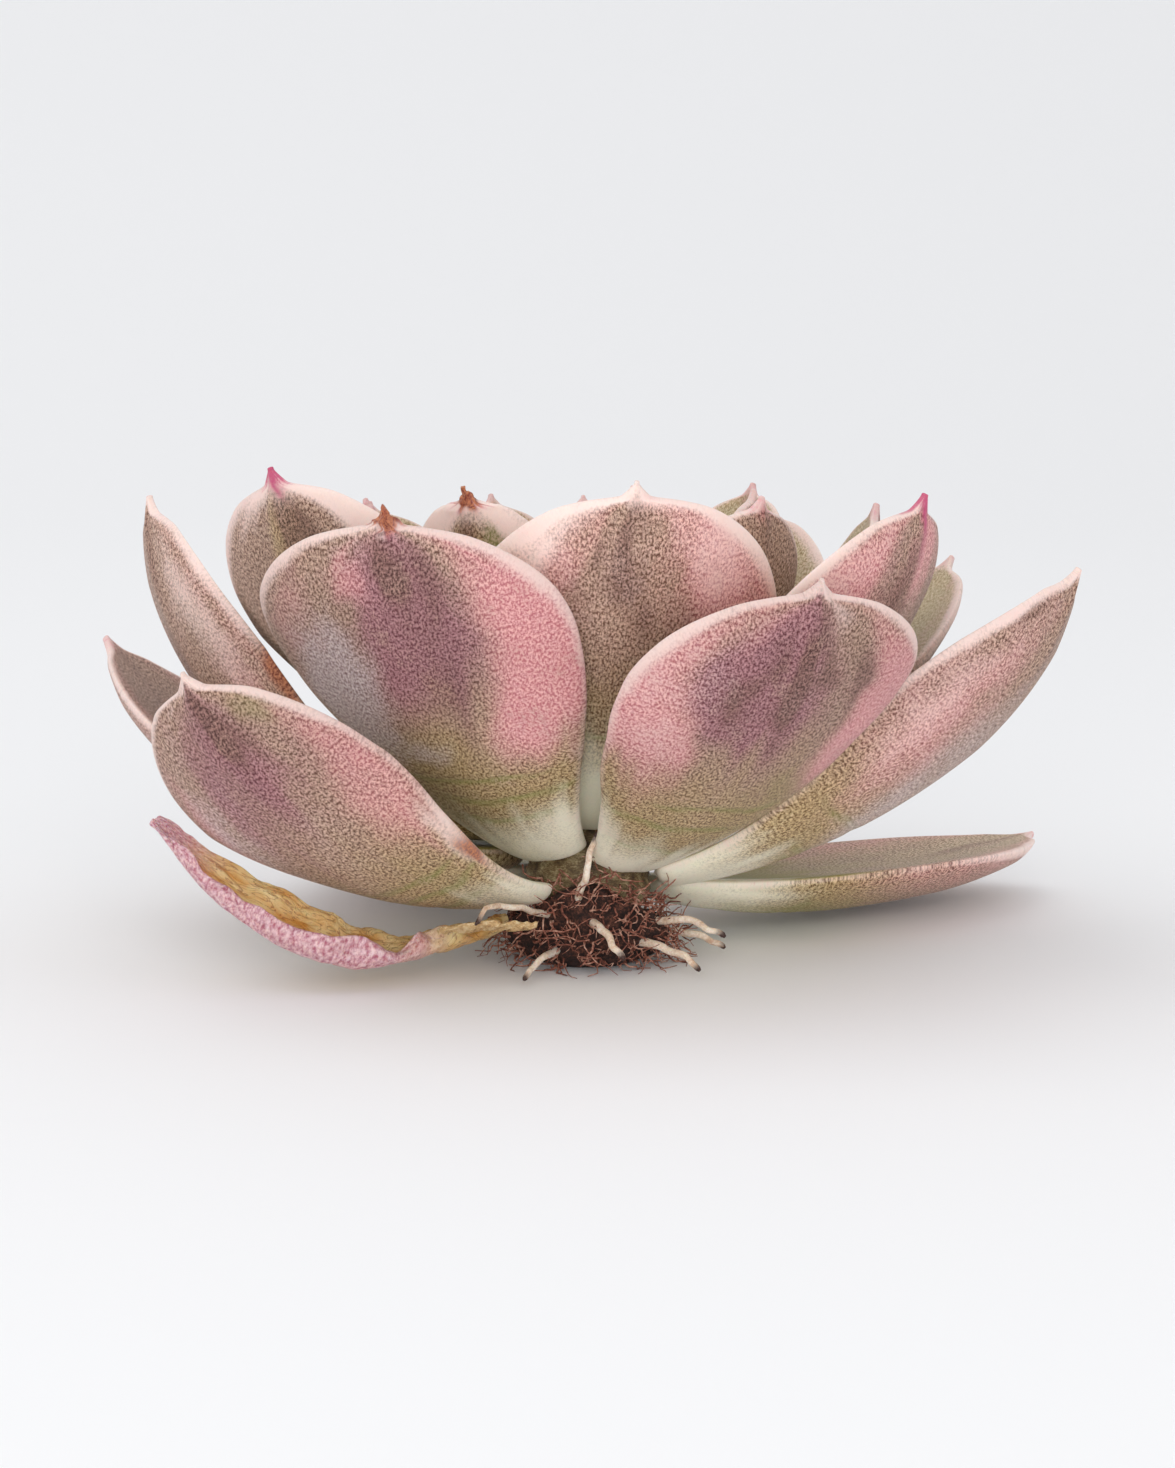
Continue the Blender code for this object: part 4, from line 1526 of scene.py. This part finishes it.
@dataclass
class Studio:
    """A pale sweep, soft light all round, and the camera that looks at a point above the plant's foot."""

    foot: Vector
    look_height: float = 19.8 * MM
    elevation: float = math.radians(10.0)
    distance: float = 0.354
    lens_mm: float = 100.0
    sensor_mm: float = 36.0
    floor_size: float = 3.0
    floor_back: float = 0.30
    sweep_radius: float = 0.9
    wall_height: float = 1.5
    sky: str = "FBFCFF"
    sky_strength: float = 0.79
    lamps: tuple[Softbox, ...] = (
        Softbox("key_light", (-0.45, -0.05, 0.70), size=0.9, power=1.8),
        Softbox("front_fill", (0.05, -0.75, 0.14), size=0.6, power=3.2),
    )
    target: Vector = field(init=False)

    def __post_init__(self) -> None:
        """Finds the point that the camera and the lamps face."""
        self.target = Vector((self.foot.x, self.foot.y, self.foot.z + self.look_height))

    def build(self) -> None:
        """Sets up the floor, the lights, the world and the camera."""
        self.lay_floor()
        for lamp in self.lamps:
            self.light(lamp)
        world = bpy.data.worlds.new("soft_studio")
        bpy.context.scene.world = world
        world.use_nodes = True
        sky = world.node_tree.nodes["Background"]
        fill(world.node_tree, sky, {"Color": colour(self.sky), "Strength": self.sky_strength})
        bpy.context.scene.view_settings.view_transform = "Standard"
        self.aim_camera()

    def lay_floor(self) -> None:
        """Lays a matte floor that sweeps up into the backdrop behind the plant."""
        work = bmesh.new()
        bmesh.ops.create_grid(work, x_segments=2, y_segments=2, size=self.floor_size / 2)
        bmesh.ops.translate(work, vec=(0, self.floor_back - self.floor_size / 2, 0), verts=work.verts)
        back = [edge for edge in work.edges if all(v.co.y > self.floor_back - 1e-6 for v in edge.verts)]
        centre = Vector((0, self.floor_back, self.sweep_radius))
        bmesh.ops.spin(work, geom=back, cent=centre, axis=(1, 0, 0), angle=math.pi / 2, steps=32)
        top = max(v.co.z for v in work.verts)
        rim = [edge for edge in work.edges if all(v.co.z > top - 1e-6 for v in edge.verts)]
        corners, _ = extrude_ring(work, rim)
        bmesh.ops.translate(work, vec=(0, 0, self.wall_height), verts=corners)
        bmesh.ops.recalc_face_normals(work, faces=work.faces)
        object_from("floor_sweep", work, Backdrop().make())

    def light(self, softbox: Softbox) -> None:
        """Adds a lamp that faces the plant.

        Args:
            softbox: The lamp.
        """
        lamp = bpy.data.lights.new(softbox.name, "AREA")
        lamp.size = softbox.size
        lamp.energy = softbox.power
        box = bpy.data.objects.new(softbox.name, lamp)
        box.location = softbox.place
        box.rotation_euler = (self.target - Vector(softbox.place)).to_track_quat("-Z", "Y").to_euler()
        bpy.context.scene.collection.objects.link(box)

    def aim_camera(self) -> None:
        """Places the camera a little above the plant and in front of it."""
        back = Vector((0, -math.cos(self.elevation), math.sin(self.elevation)))
        camera = bpy.data.objects.new("camera", bpy.data.cameras.new("camera"))
        camera.data.lens = self.lens_mm
        camera.data.sensor_width = self.sensor_mm
        camera.location = self.target + back * self.distance
        camera.rotation_euler = (-back).to_track_quat("-Z", "Y").to_euler()
        bpy.context.scene.collection.objects.link(camera)
        bpy.context.scene.camera = camera


def main() -> None:
    """Builds every sub-assembly and then the studio."""
    logging.basicConfig(level=logging.INFO, format="%(name)s: %(message)s")
    crown = Crown()
    Rosette(crown).build()
    stem_skin = Tissue(
        "stem_skin", "3A2616", "7A6440", "C2B288", 1.2, 0.3, roughness=0.6, stretch=(1, 1, 3), scatter=0.15
    )
    Stem(crown).build(stem_skin.make())
    DryBlade(
        "withered_leaf",
        (
            (-7.4, -3.6, 3.6),
            (-13.0, -7.6, 2.7),
            (-20.4, -12.4, 3.3),
            (-29.2, -12.0, 7.6),
            (-36.8, -9.4, 14.0),
        ),
        (1.6, 2.7, 3.6, 3.0, 0.8),
        (-8, -20, -38, -42, -32),
        thickness=0.22 * MM,
        crinkle=1.0 * MM,
        roll=165.0,
        roll_from=0.30,
        finish=WitheredSkin(),
        slot_name="withered",
    ).build(crown.foot)
    husk = Tissue(
        "dry_husk",
        "7A5430",
        "CBA673",
        "EBD8B0",
        patch_mm=0.7,
        fibre_mm=0.25,
        roughness=0.8,
        stretch=(1, 4, 4),
        scatter=0.1,
        depth_mm=0.25,
    )
    DryBlade(
        "husk",
        ((-4.6, -9.0, 4.6), (-8.4, -10.2, 5.0), (-12.6, -11.6, 4.9)),
        (1.3, 1.9, 0.6),
        (20, 5, -10),
        thickness=0.14 * MM,
        crinkle=0.9 * MM,
        roll=70.0,
        roll_from=0.5,
        finish=husk,
        slot_name="husk",
        wrinkles=0.35,
    ).build(crown.foot)
    soil = Tissue("soil_clump", "120806", "2E1710", "6E4232", 0.7, 0.22, roughness=0.9, depth_mm=0.3)
    fibre = Tissue("fine_root_fibre", "4A2218", "8E5442", "D8AE98", 0.9, 0.35, roughness=0.75)
    root_skin = Tissue(
        "bare_root_skin",
        "BE9C80",
        "E2CDB8",
        "F3E8DA",
        patch_mm=1.6,
        fibre_mm=0.3,
        roughness=0.6,
        scatter=0.2,
        depth_mm=0.1,
        zone="along",
        zone_colour="3A2118",
        zone_from=0.9,
    )
    RootBall(crown).build(soil, fibre, root_skin)
    Studio(crown.foot).build()


if __name__ == "__main__":
    main()
